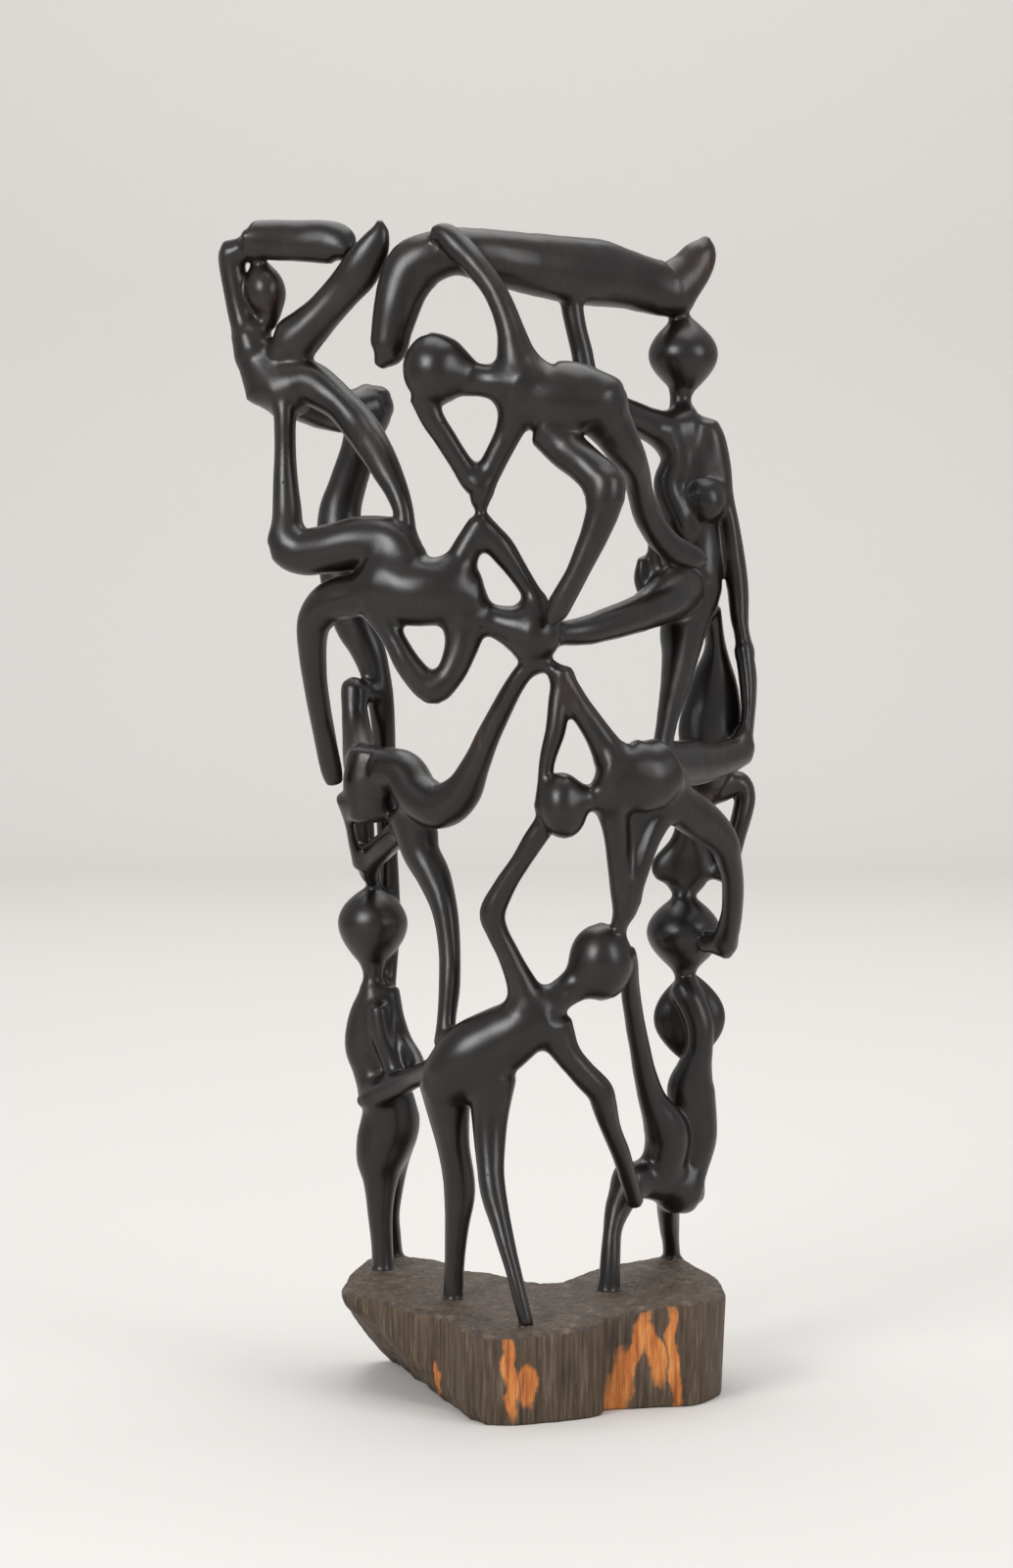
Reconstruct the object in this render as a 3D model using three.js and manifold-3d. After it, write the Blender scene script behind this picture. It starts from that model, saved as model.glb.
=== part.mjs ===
// Carved group of interlocked acrobats on its rough log base, one piece of African blackwood.
// Millimetres, +Z up, +Y away from the front. The origin is the middle of the base underside.
import * as THREE from 'three';
import { mergeVertices } from 'three/addons/utils/BufferGeometryUtils.js';
import Module from 'manifold-3d';

const wasm = await Module();
wasm.setup();

// The front sheet: an upright drawing sheet through the axis of the log, square to the line of sight.
// Every joint is measured on it, across and up from the middle of the base, and then carried along
// its line of sight to its own depth in the log.
const SHEET_MIDDLE = new THREE.Vector3(0, 0, 354.2);
const SHEET_MIDDLE_UP = 350.5;
const EYE_DISTANCE = 2500;
const EYE_ACROSS = -16.5;
const SIGHT_FALL = 0.06;

const SIGHT = new THREE.Vector3(0, Math.sqrt(1 - SIGHT_FALL ** 2), -SIGHT_FALL);
const SHEET_UP = new THREE.Vector3(0, SIGHT_FALL, SIGHT.y);
const EYE = SHEET_MIDDLE.clone().add(new THREE.Vector3(EYE_ACROSS, 0, 0)).addScaledVector(SIGHT, -EYE_DISTANCE);

const STATION_SLACK = 2;
const STOUT = 16;
const STOUT_SIDES = 8;
const SLIM_SIDES = 6;
const BULB_SIDES = 8;
const BULB_RINGS = 5;

// Log base. The outline runs round the rim of its upper face, seen from above, clockwise.
const BASE_OUTLINE = [
  [-113, 0], [-110, 30], [-103, 62], [-98, 77], [-83, 81], [-64, 74], [-55, 67], [-42, 46], [-26, 38], [-6, 18],
  [12, 14], [20, 21], [32, 41], [47, 58], [63, 70], [81, 81], [89, 77], [100, 50], [106, 32], [110, 12], [111, -20],
  [104, -40], [96, -54], [86, -60], [75, -62], [53, -66], [41, -70], [36, -84], [18, -98], [1, -104], [-12, -110],
  [-28, -110], [-34, -104], [-42, -92], [-50, -72], [-66, -54], [-83, -38], [-95, -22], [-107, -12],
];
const BASE_MIDDLE = [0, -40];
const BASE_HEIGHT = 58.8;
const BASE_SLOPE = 0.065;
const FRONT_RISE = { height: 7, across: 82, along: -52, wide: 34, long: 22 };
const RIGHT_TAPER = 0.975;
const TOP_RINGS = [1, 0.8, 0.5];
const UNDERCUT = { at: [-54, -30, 0], normal: [-66, -19, -64.5] };
const CUTTER_SIZE = 400;

// Each limb is a list of stations [across, up, deep, half width, half thickness], from one end to
// the other. Each bulb is [from station, to station, half width, half thickness, belly, point].
const topLeftAcrobat = {
  limbs: {
    raisedArm: [[-177, 664, 4, 5, 7], [-177, 658, 4, 7.2, 9], [-175.5, 647, 4, 7.4, 9], [-172.5, 630, 4, 7.4, 9],
      [-168.5, 616, 3, 8.3, 10], [-163, 602, 0, 11, 12]],
    grip: [[-177, 659, 2, 4.6, 6], [-162, 660, -2, 4.6, 6]],
    board: [[-169, 668.6, -6, 4.5, 8], [-165, 667.8, -6, 10, 8], [-154.5, 667, -6, 11.6, 8],
      [-137, 666.3, -6, 12, 8], [-122, 665.8, -8, 12.6, 8], [-113.4, 664, -10, 11.5, 8], [-108, 660, -12, 6.5, 7]],
    neck: [[-154.5, 624, 0, 4.5, 6], [-162, 607, 0, 5, 6]],
    torso: [[-167.6, 611, 0, 7, 10], [-162, 598.5, 0, 12, 12], [-152, 585.4, -4, 19, 15],
      [-148.2, 577.4, -6, 17, 15], [-146, 568.3, -8, 8, 12]],
    raisedLeg: [[-149, 601.4, -8, 7, 11], [-140.8, 607.6, -10, 13.7, 13], [-131, 616.7, -14, 12.5, 12],
      [-122.5, 625.3, -18, 11.1, 10], [-111.7, 637.3, -24, 11, 8], [-102, 649.2, -30, 12, 7],
      [-94.6, 661.2, -33, 10, 6], [-90.6, 670.9, -34, 6.3, 5], [-90, 677.7, -35, 2, 2]],
    loweredLeg: [[-146, 578, -8, 15, 15], [-137, 582, -11, 15, 15], [-129.9, 583, -14, 13, 13],
      [-121.4, 578, -18, 11.5, 11], [-111.7, 570, -24, 10, 10], [-101.4, 558, -32, 10.5, 9],
      [-94.6, 547.8, -40, 10.1, 9], [-87.8, 535.8, -48, 9.1, 8], [-80.4, 521, -56, 7.1, 7],
      [-76.4, 509, -60, 6, 7], [-75.2, 496, -62, 6.3, 7]],
  },
  bulbs: { head: [[-162, 658.4, 0], [-151.6, 616.2, 0], 12, 14, 0.5, 1] },
};

const topBarAcrobat = {
  limbs: {
    bar: [[-90, 594.5, -45, 4, 4], [-85.5, 602.5, -45, 10.5, 9], [-83.2, 615, -45, 12, 10],
      [-80.4, 627, -45, 13.5, 11], [-76.4, 640.1, -45, 15, 11], [-69.5, 651.5, -45, 16.5, 12],
      [-57.6, 657.8, -46, 14.7, 12], [-43.3, 660.1, -44, 14, 12], [-26.2, 657.2, -38, 16, 13],
      [-12, 654.6, -30, 17.1, 14], [5.1, 651.8, -18, 18.5, 14], [22.2, 649.2, -4, 19.5, 14],
      [36.5, 647.8, 10, 19.6, 14], [50.7, 644.7, 24, 17.4, 13], [65, 640.7, 36, 16.2, 12],
      [77.5, 638.4, 44, 16, 12], [82.1, 641.3, 46, 15, 12], [90.1, 649.2, 48, 12.5, 10],
      [95.8, 657.8, 49, 10.3, 8], [98.6, 663.5, 50, 7, 6], [99.8, 667.8, 50, 2.5, 2.5]],
    headLink: [[83.8, 632, 48, 7, 7], [83.8, 624, 49, 4.9, 5], [84, 617.3, 50, 6, 6]],
  },
  bulbs: {},
};

const upperCentreAcrobat = {
  limbs: {
    raisedArm: [[-58.7, 670.9, -56, 4.5, 4], [-51.9, 669.8, -58, 7, 6], [-43.3, 661.8, -62, 8, 7],
      [-35.3, 653.2, -66, 7.6, 8], [-26.2, 641.8, -70, 7.1, 8], [-19.4, 629.3, -73, 7.2, 8],
      [-14.2, 614.5, -75, 8.2, 9], [-11.4, 601.4, -77, 11, 11], [-8, 587, -78, 16, 14]],
    neck: [[-51.9, 592.8, -75, 15.4, 14], [-38.7, 586.8, -76, 11.1, 9], [-31.3, 585.4, -77, 9.7, 8],
      [-23.3, 584.3, -78, 11, 9], [-12, 581.4, -78, 16, 14]],
    outerArm: [[-65, 575.7, -74, 8, 8], [-58.7, 561.5, -74, 7, 7], [-51.9, 551.2, -74, 6.5, 7],
      [-43.9, 538.7, -74, 6.5, 7], [-37.6, 529, -74, 7, 7], [-31.9, 522.7, -74, 7, 7], [-31.9, 514.7, -74, 3.5, 4]],
    innerArm: [[-9.1, 570, -78, 12, 12], [-14.8, 555.8, -76, 8.3, 8], [-21, 543.2, -75, 7.4, 7],
      [-26.8, 531.8, -74, 7.4, 7], [-31.9, 522.7, -74, 7, 7]],
    elbowLink: [[-31.9, 516, -74, 4.2, 4.5], [-31.6, 510.8, -73, 3.1, 3.5], [-31.3, 506.8, -73, 3.4, 4],
      [-31.3, 500, -72, 5, 5]],
    torso: [[-6.3, 584.3, -78, 15, 14], [5.7, 576.8, -78, 20, 17], [21.1, 574.6, -78, 21.7, 18],
      [33.7, 571.7, -77, 19.5, 17], [42.2, 566, -75, 15, 13]],
    frontThigh: [[8, 555.8, -80, 12, 12], [18.3, 545.5, -84, 12, 11], [29.7, 535.8, -92, 11.4, 11],
      [40.5, 525, -97, 11.4, 11], [42, 517, -98, 8, 9]],
    frontShin: [[41.5, 526, -97, 9, 10], [40.5, 517, -98, 11, 11], [39.4, 509, -98, 9.8, 10],
      [34.8, 495.9, -98, 8.4, 8.5], [29.7, 484.5, -97, 7.5, 8], [24.5, 473.1, -96, 6.8, 7.5],
      [18.3, 461.7, -94, 7, 7.5], [12.6, 450.9, -92, 6.8, 6.5], [9.7, 444, -91, 3.5, 3]],
    backLeg: [[35.4, 575.7, -76, 16, 16], [43.3, 560.3, -72, 13.5, 13], [51.9, 545.5, -64, 11.1, 11],
      [58.2, 533, -52, 8.7, 9], [61, 521.6, -42, 7.7, 8], [64.4, 509, -32, 8, 8], [70.7, 497.6, -22, 8.4, 8],
      [78.7, 488.5, -14, 8.3, 8], [87.8, 483.9, -8, 7.7, 7], [95.2, 481.7, -4, 5.7, 5], [99.8, 481, -3, 1.8, 1.8]],
  },
  bulbs: { head: [[-59.8, 612.8, -74], [-55.8, 570.6, -74], 19, 19, 0.5, 0] },
};

const middleLeftAcrobat = {
  limbs: {
    neck: [[-12, 441.8, -70, 12.5, 14], [-27.3, 446.9, -70, 9.3, 9], [-38.7, 453.2, -70, 14, 12]],
    headArm: [[-31.3, 502.2, -72, 6.5, 7], [-26.2, 494.8, -72, 8, 8], [-19.4, 487.4, -72, 8, 8],
      [-12, 477.1, -71, 6.6, 7], [-4.5, 465.7, -70, 5.7, 7], [0, 457.7, -70, 6, 8]],
    shoulderArm: [[-32.5, 501, -72, 6.5, 7], [-37.6, 491.3, -72, 8, 8], [-42.7, 480.5, -71, 9.7, 10],
      [-49, 467.4, -70, 13.5, 13]],
    torso: [[-36.5, 461.1, -70, 13, 12], [-47.9, 462.8, -71, 18.5, 16], [-60.4, 462.3, -72, 20, 17],
      [-72.9, 463.4, -70, 20.5, 17], [-84.3, 469.1, -66, 20, 16], [-91.8, 473, -62, 16, 14]],
    kneelingThigh: [[-72, 480, -68, 11, 11], [-83.2, 489.6, -62, 15, 13], [-100.3, 491.3, -54, 15.1, 13], [-117.4, 487.9, -48, 14.2, 13],
      [-133.4, 485.5, -42, 13.6, 12], [-143, 488.5, -38, 12.4, 11], [-150, 494, -36, 6, 7]],
    raisedShin: [[-144.2, 484, -38, 6, 7], [-144.2, 493, -38, 9.4, 10], [-144.2, 507.3, -34, 8.6, 9],
      [-144.8, 521.6, -31, 7.7, 8], [-145.3, 541.5, -26, 6.4, 8], [-145.3, 557.5, -20, 6.3, 8],
      [-145.3, 570, -16, 6.8, 8]],
    loweredLeg: [[-87.8, 464.6, -64, 14, 14], [-104.9, 460, -56, 12.5, 13], [-118, 457, -50, 12, 12],
      [-126, 449, -44, 11, 11], [-129.4, 438.9, -40, 9.3, 9], [-128.8, 419, -32, 7.7, 8], [-126, 397.9, -22, 6.8, 7],
      [-122.5, 379.1, -12, 6.5, 6.5], [-118.5, 359.1, -4, 6.2, 6], [-116.8, 351.7, -2, 5, 4]],
    flankElbow: [[-91.2, 452, -66, 9, 10], [-83.2, 437.2, -70, 6.8, 8], [-75.2, 422.4, -73, 7.4, 8],
      [-66.1, 410.4, -74, 8.3, 8], [-59.3, 405.3, -74, 8, 8]],
    chestElbow: [[-40.5, 444.6, -71, 13, 11], [-42.7, 430.4, -73, 10, 9], [-47.9, 416.7, -74, 8.6, 8],
      [-55.9, 405.3, -74, 7.7, 8], [-59, 400.7, -74, 5, 6]],
  },
  bulbs: { head: [[1.2, 462.8, -70], [-2.3, 418.4, -70], 16.5, 17, 0.55, 0.35] },
};

const leftColumnAcrobat = {
  limbs: {
    raisedLeg: [[-86, 359, 0, 13, 14], [-75.8, 356.3, -8, 13, 14], [-67.8, 344.3, -18, 13.2, 14],
      [-54.7, 337.7, -30, 13.4, 13], [-42.2, 346, -40, 11.3, 11], [-34.2, 362, -50, 8.3, 9],
      [-26.8, 379.1, -57, 7, 8], [-18.8, 395, -62, 6.3, 7], [-9.7, 411, -68, 5.7, 6], [-2.8, 419.5, -70, 6, 6]],
    torso: [[-96.9, 368, 8, 12, 12], [-96.9, 360, 8, 14, 13], [-96.3, 350.6, 8, 15.5, 14], [-94, 333.5, 8, 14.5, 13]],
    braceArm: [[-75.2, 324.9, 2, 6.5, 9], [-84.9, 316.9, 16, 7.5, 9], [-93.5, 308.9, 32, 7.5, 8],
      [-96.3, 301, 44, 6.3, 7], [-94.6, 294.7, 52, 4.4, 5], [-93.5, 289, 55, 4.2, 5]],
    hipWeb: [[-103, 334, 44, 9, 5], [-100, 318, 44, 7, 5], [-97, 306, 44, 4, 5]],
    outerStrip: [[-110.6, 342, 12, 5, 7], [-107.7, 327.8, 20, 3, 5], [-105.4, 315.2, 28, 2.8, 5],
      [-102, 305, 36, 4, 5]],
    loweredLeg: [[-73, 334, -6, 12, 12], [-69, 323.2, -8, 12.5, 12], [-66.1, 310.7, -10, 11, 11],
      [-58.4, 295.8, -16, 9.7, 10], [-52.4, 277, -22, 7.6, 9], [-49.6, 253.1, -28, 6.4, 8],
      [-49.6, 234.3, -32, 6.3, 8], [-51.3, 213.8, -36, 5.6, 7], [-52.4, 200, -40, 6.5, 7]],
  },
  bulbs: {},
};

const backLeftAcrobat = {
  limbs: {
    thigh: [[-140, 574, 8, 11, 11], [-123, 568.3, 24, 11.4, 12], [-107.7, 567.2, 38, 12.5, 12],
      [-94.6, 570, 48, 12, 12], [-88, 573, 50, 7, 7]],
    column: [[-93, 578, 48, 8, 9], [-94.6, 571.1, 48, 11.5, 12], [-98, 560.3, 50, 12, 11],
      [-102.6, 544.4, 56, 10.5, 9], [-108.9, 524.4, 60, 11, 9], [-113.4, 508.4, 62, 12.3, 10],
      [-113.4, 487.4, 60, 13.5, 11], [-110.6, 464.6, 58, 13, 11], [-104.9, 444.6, 54, 12, 10],
      [-98, 430.4, 52, 10.3, 9], [-92.3, 413.3, 52, 8.5, 8], [-88.9, 392.7, 54, 7.4, 7], [-87.8, 373.4, 58, 6.8, 7],
      [-87.2, 350.6, 62, 6.5, 6], [-85.5, 311.8, 64, 5.7, 6], [-84.3, 276.5, 66, 6, 5], [-85.5, 242.3, 64, 5.5, 5],
      [-88, 226, 58, 6, 6]],
    sole: [[-104.9, 411, 40, 3.5, 4], [-105.4, 406.4, 40, 7, 7], [-104.9, 392.7, 38, 7.7, 8],
      [-103.7, 381.9, 33, 8.5, 8], [-102.6, 371, 25, 9.5, 9], [-101.5, 362, 16, 10, 10]],
    soleTop: [[-105, 403, 40, 5, 6], [-95, 405, 50, 5, 6]],
    waistTie: [[-94, 356, 12, 9, 9], [-89, 352, 60, 8, 7]],
  },
  bulbs: {},
};

const lowerLeftAcrobat = {
  limbs: {
    neck: [[-94, 245, 55, 6.2, 6.5], [-94, 232, 55, 6, 6.5], [-93, 225, 55, 9, 9]],
    torso: [[-92.3, 229.7, 55, 9, 9], [-93.5, 219.5, 55, 13, 12], [-95.7, 208.1, 55, 14, 13],
      [-97, 196.7, 55, 13.5, 12], [-94.6, 185.3, 54, 11.5, 12], [-91, 174, 52, 12, 12]],
    outerArm: [[-84.3, 229.7, 54, 5.5, 7], [-81.5, 216.6, 50, 5, 7], [-76.9, 202.4, 44, 5, 7],
      [-70.7, 191, 34, 5.3, 7], [-67.2, 182.4, 22, 5, 6]],
    innerArm: [[-91.2, 219.5, 42, 5.5, 6], [-88.9, 205.2, 40, 6, 6], [-83.8, 191, 38, 6.2, 6],
      [-79.2, 179.6, 36, 6.5, 7]],
    forearm: [[-52, 186, -28, 9, 10], [-67.8, 180.7, 5, 6.5, 7.5], [-78.6, 175.6, 22, 7, 8], [-88.9, 171, 34, 6.8, 8],
      [-96.9, 167.6, 40, 5.4, 7], [-101.4, 165.9, 42, 3, 4]],
    frontLeg: [[-86, 176, 48, 12, 12], [-84.3, 165.3, 48, 15, 14], [-84.3, 154, 50, 17, 15], [-87.8, 142.5, 50, 16, 14],
      [-90, 131.1, 49, 13.8, 13], [-90, 119.7, 48, 10.3, 10], [-90, 102.6, 46, 7.4, 8], [-88.9, 79.8, 45, 6.3, 7],
      [-88, 56, 44, 6.6, 8]],
    backLeg: [[-82, 156, 54, 12, 11], [-82, 142.5, 58, 12, 11], [-82, 125.4, 64, 7.5, 8], [-83.2, 102.6, 72, 4.8, 6],
      [-82, 87.2, 77, 4.3, 6], [-80.4, 66, 80, 5, 6]],
  },
  bulbs: { head: [[-93.5, 291.8, 55], [-95.2, 241.1, 55], 20.3, 20, 0.44, 0.75] },
};

const centreAcrobat = {
  limbs: {
    headLink: [[-0.6, 421.2, -70, 7, 8], [8.6, 419, -71, 4.6, 6], [15, 414, -72, 4.6, 6]],
    thinArm: [[15, 413, -72, 5, 6], [13.7, 399, -74, 5.8, 7], [12, 382, -76, 6, 7], [7.4, 364.8, -76, 4.8, 6],
      [5.7, 350.6, -76, 4.3, 6], [6.3, 339.2, -74, 6, 7]],
    wideArm: [[16.6, 414.4, -72, 4.6, 6], [21.7, 404.1, -73, 6, 7], [27.4, 393.3, -74, 7, 8], [36, 380.8, -74, 8, 9],
      [43.3, 367.7, -73, 10, 11]],
    neck: [[25.1, 342, -77, 9, 10], [34.2, 342.6, -75, 7.7, 9], [45.1, 344.9, -73, 13, 13]],
    torso: [[43.3, 359.1, -73, 15, 14], [53.6, 355.4, -72, 20.5, 16], [65, 355.7, -68, 21, 17],
      [74.1, 360.2, -62, 18, 16]],
    supportArm: [[43.3, 342, -70, 10.5, 11], [46.8, 324.9, -66, 7.7, 8.5], [48.5, 305, -62, 6.6, 7.5],
      [51.3, 290.7, -58, 8, 8], [52.5, 279.3, -55, 7.6, 7.5], [49.6, 269.6, -52, 5.2, 6], [47.3, 262, -50, 5.5, 6]],
    armWeb: [[60, 340, -58, 10, 5], [57, 322, -57, 6, 5], [55, 306, -57, 3, 4]],
    sole: [[79.8, 345, -52, 6, 8], [74.1, 331.7, -54, 6.3, 8], [68.4, 320.3, -56, 5.7, 7.5],
      [63.9, 307.8, -57, 5.2, 7], [59.9, 294.7, -57, 4.8, 6.5], [56.5, 285, -56, 4.5, 6]],
    curvedLeg: [[76, 352, -54, 12, 13], [82.1, 342, -50, 11.5, 13], [89.5, 334.6, -44, 12.5, 12],
      [100.3, 326.6, -36, 11.5, 11], [109.5, 316.4, -28, 9.2, 9.5], [113.4, 303.8, -20, 7, 8],
      [115.2, 290.7, -12, 6.4, 7.5], [114.6, 276.5, -4, 6.2, 7], [112.3, 263.9, 6, 6.8, 7],
      [111.2, 255.9, 12, 5.7, 6], [111.7, 250.8, 14, 2.3, 3]],
    toeLink: [[110.6, 258.2, 10, 6.5, 6.5], [100.3, 258.2, 22, 6.3, 6.5]],
  },
  bulbs: { head: [[14.8, 357.4, -78], [17.7, 318.6, -78], 14.3, 15, 0.5, 0] },
};

const upperRightAcrobat = {
  limbs: {
    neck: [[84.7, 578.6, 48, 6, 6.5], [84.7, 566.1, 47, 6.2, 7], [86, 560, 46, 9, 9]],
    torso: [[89, 565, 45, 5, 6], [91, 556, 45, 13.5, 11], [92.9, 538.7, 45, 17.7, 13], [93.5, 526.1, 45, 18, 12],
      [94, 514, 45, 15, 11], [94.6, 502.7, 44, 12, 10], [95.8, 487.4, 44, 12.5, 10], [94.6, 470.3, 42, 14, 12],
      [91.2, 456, 40, 14, 12]],
    leftSide: [[74, 556, 32, 9, 10], [81, 540, 36, 8, 10], [77.5, 525.5, 36, 8.5, 9], [80, 512, 36, 8, 9],
      [86, 498, 38, 8, 8]],
    acrossArm: [[86.1, 555.8, 42, 14, 12], [74.1, 557.5, 36, 10.3, 11], [62.2, 561.5, 24, 9.7, 10],
      [49, 568.3, 8, 8.6, 9], [36.5, 577.4, -4, 7.4, 8], [30.2, 587.1, -8, 6.8, 7], [27.4, 601.4, -7, 6.3, 7],
      [24, 615.6, -6, 6.2, 7], [21.7, 628.7, -5, 6.5, 7], [21.7, 638, -4, 7, 7]],
    longArm: [[101, 558, 44, 6, 8], [103.8, 550, 44, 7, 9], [107.8, 533, 46, 6, 8], [110.6, 515.9, 46, 5.4, 8],
      [114, 498.8, 46, 5.4, 8], [115.7, 484.5, 46, 6.1, 8], [118, 464.6, 46, 6.3, 8], [119.1, 447.5, 45, 5.4, 8],
      [120.3, 438.9, 44, 4.6, 8], [122.6, 426, 43, 5.1, 8]],
    crossThigh: [[13.7, 437.8, -66, 7, 7], [30.8, 440, -54, 8.6, 8], [47.9, 445.2, -36, 10, 10],
      [62.2, 450.3, -18, 11, 11], [75.3, 457.7, 4, 13.5, 13], [85, 464.6, 25, 14, 14]],
    standingLeg: [[91.2, 464.6, 40, 15.5, 14], [88.9, 450.3, 34, 14.8, 13], [86.1, 438.9, 24, 13.5, 12],
      [84.4, 424.1, 10, 10.7, 10], [81.5, 408.1, -6, 8.5, 8], [77, 387.6, -24, 6.3, 6], [74.1, 372, -36, 5.5, 6]],
    thighKnob: [[62.5, 481, 20, 3, 4], [63, 470, 22, 5.5, 6], [67, 460, 24, 6.5, 7]],
    flankStrip: [[69.5, 496, 20, 4, 6], [72, 478, 22, 5.5, 7], [77, 466, 24, 8, 8]],
  },
  bulbs: {
    head: [[86.1, 625.3, 48], [86.7, 574, 48], 20.3, 20, 0.49, 1],
    belly: [[98.6, 528.4, 36], [98.6, 502.2, 36], 12, 10, 0.5, 0],
    flank: [[79.8, 525, 36], [87.8, 489.6, 36], 8, 9, 0.5, 0.4],
  },
};

const rightColumnAcrobat = {
  limbs: {
    thigh: [[68, 360, -44, 14, 14], [76.4, 362, -30, 13, 14], [87.8, 362.5, -12, 13.7, 14], [102, 363.7, 8, 11.4, 13],
      [115.2, 367.7, 24, 9.4, 11], [120.3, 372.2, 30, 7, 9]],
    shin: [[120.3, 366, 28, 5, 7], [120.9, 373.4, 32, 5.5, 9], [123.7, 387.6, 36, 4, 10], [124.3, 401.9, 38, 4.8, 10],
      [123.7, 414.4, 40, 5.4, 9], [121.4, 429, 42, 5.1, 8]],
    back: [[103.2, 452, 46, 5, 8], [104.9, 430.4, 50, 6.3, 9], [104.3, 413.3, 52, 12.5, 10], [103.2, 396.2, 52, 16.5, 10],
      [101.5, 381.9, 50, 18, 11], [101, 368, 44, 16, 11], [98, 352, 30, 12, 10]],
    backElbow: [[96.4, 343.7, 44, 8, 9], [107.8, 347.7, 48, 8, 9], [118, 350.6, 50, 7.5, 9], [122, 343.7, 50, 6.3, 8],
      [120.3, 332.3, 48, 6, 8], [116.9, 319.2, 46, 5.5, 7], [113.4, 305, 44, 5, 7], [108, 296, 42, 4.5, 6]],
    fan: [[97, 350, 42, 9, 9], [92, 334, 40, 9, 8], [90, 320, 40, 10, 8], [88.9, 309.5, 42, 16, 8],
      [87.2, 299.3, 42, 19.5, 8], [87.2, 292.4, 42, 12, 8], [86.7, 285, 40, 6.6, 6.6], [86.7, 277, 40, 8.5, 8.5]],
  },
  bulbs: {},
};

const lowerRightAcrobat = {
  limbs: {
    neck: [[87.2, 243.4, 40, 5.8, 6], [87.2, 234.9, 40, 5.7, 6], [88, 228, 40, 8, 8]],
    spine: [[86.7, 232, 38, 7.5, 8], [91.2, 224, 34, 8.5, 8.5], [95.8, 210.9, 32, 8.2, 8.5],
      [95.8, 196.7, 32, 7.7, 8.5], [92.9, 185.3, 34, 10.5, 10.5], [90.7, 172.7, 36, 14, 12],
      [93.5, 156.8, 38, 12.5, 12], [94.6, 142.5, 38, 11, 12], [91.8, 126, 36, 8.5, 10], [88, 115, 36, 9, 11]],
    thigh: [[53.6, 119.7, 10, 10, 10], [63.9, 120.8, 20, 11.4, 12], [75.2, 119.7, 30, 13.5, 14],
      [84.4, 115.1, 36, 15.5, 15], [89.5, 111.7, 40, 11.5, 12], [94, 111.2, 42, 5, 6]],
    longLimb: [[53, 252, -36, 6, 6], [55.3, 245.1, -30, 5, 6], [55.3, 233.7, -22, 5.5, 6.5], [56.5, 222.3, -16, 5.7, 6.5],
      [59.9, 202.4, -6, 5.9, 6.5], [63.9, 182.4, 4, 6.7, 7.5], [68.4, 167, 12, 8.3, 9], [74.7, 153.9, 18, 12, 12],
      [77, 143.6, 22, 13, 13], [74.1, 128, 24, 12, 12]],
    frontShin: [[56, 122, 12, 9, 9], [53.6, 115.7, 10, 9.5, 10], [48.5, 104.3, 4, 7.7, 8.5], [45.1, 91.2, -2, 5.6, 7],
      [44.2, 77, -6, 5.8, 6.5], [43.3, 62.7, -8, 6.3, 7], [42.2, 50, -8, 7.2, 8]],
    backLeg: [[78, 118, 42, 8, 9], [77.5, 108.3, 50, 7, 8], [78.1, 94.1, 64, 6, 7], [79.3, 82.7, 72, 5, 6],
      [79.8, 66, 77, 5.6, 6.5]],
  },
  bulbs: {
    head: [[86.7, 287.9, 40], [86.7, 237.7, 40], 21.7, 21, 0.47, 0.9],
    back: [[90, 241.1, 46], [90, 188.1, 46], 21, 10, 0.5, 0.6],
  },
};

const bottomCentreAcrobat = {
  limbs: {
    neck: [[31.9, 239.4, -50, 13.5, 13], [21.1, 232, -52, 9.7, 10], [11.4, 225.2, -54, 9.5, 11],
      [2.3, 218.3, -54, 13, 13]],
    raisedArm: [[6.3, 338, -73, 6, 6.5], [6.3, 328.9, -72, 6.5, 7], [-0.6, 318, -70, 6.5, 7], [-8.5, 305, -67, 5.8, 6.5],
      [-17.7, 290.7, -64, 6.5, 7], [-24.5, 275.9, -62, 7.5, 7.5], [-21.6, 263.9, -61, 6.5, 7],
      [-14.8, 250.2, -60, 6.6, 7], [-8.5, 236, -58, 8.5, 9], [-4.5, 225.2, -56, 12, 12]],
    torso: [[5.7, 213.8, -54, 14, 14], [-6.3, 209.2, -54, 17, 16], [-20.5, 201.2, -52, 20, 17],
      [-34.8, 192.1, -50, 21.5, 18], [-46.2, 184.1, -46, 19, 17], [-54.7, 179.6, -40, 14, 14]],
    loweredArm: [[10.8, 208.1, -54, 12, 12], [18.2, 194.4, -54, 8.3, 9], [26.8, 183.5, -52, 7.7, 8.5],
      [37.1, 172.7, -48, 8, 8.5], [40.5, 163.6, -44, 7.4, 8], [43.9, 151.1, -38, 6, 7], [50.2, 135.1, -28, 5.5, 6.5],
      [54.7, 119.7, -18, 5.2, 6], [58.2, 107.7, -10, 5, 6]],
    leftLeg: [[-51.9, 176.7, -40, 15.5, 15], [-49.6, 156.8, -36, 12, 13], [-47.3, 139.7, -34, 9.5, 11],
      [-44.4, 122.6, -32, 9.3, 9], [-43.9, 110, -30, 9, 8.5], [-45.3, 93.5, -28, 7.1, 8], [-46.7, 73.5, -27, 5.9, 7],
      [-47.6, 48, -26, 5.6, 7]],
    rightLeg: [[-25, 178, -52, 14, 14], [-26.2, 155, -54, 10.5, 11], [-25.9, 131.7, -60, 8.3, 9],
      [-24.5, 114.6, -66, 7.6, 8], [-19.4, 93.5, -74, 6, 7], [-14.2, 73.5, -82, 4.8, 6], [-9.1, 54.2, -88, 4.4, 5.5],
      [-5.1, 37.1, -91, 4.2, 5]],
  },
  bulbs: { head: [[38.8, 269.6, -48], [38.2, 224.6, -48], 18.8, 19, 0.5, 0] },
};

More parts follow.
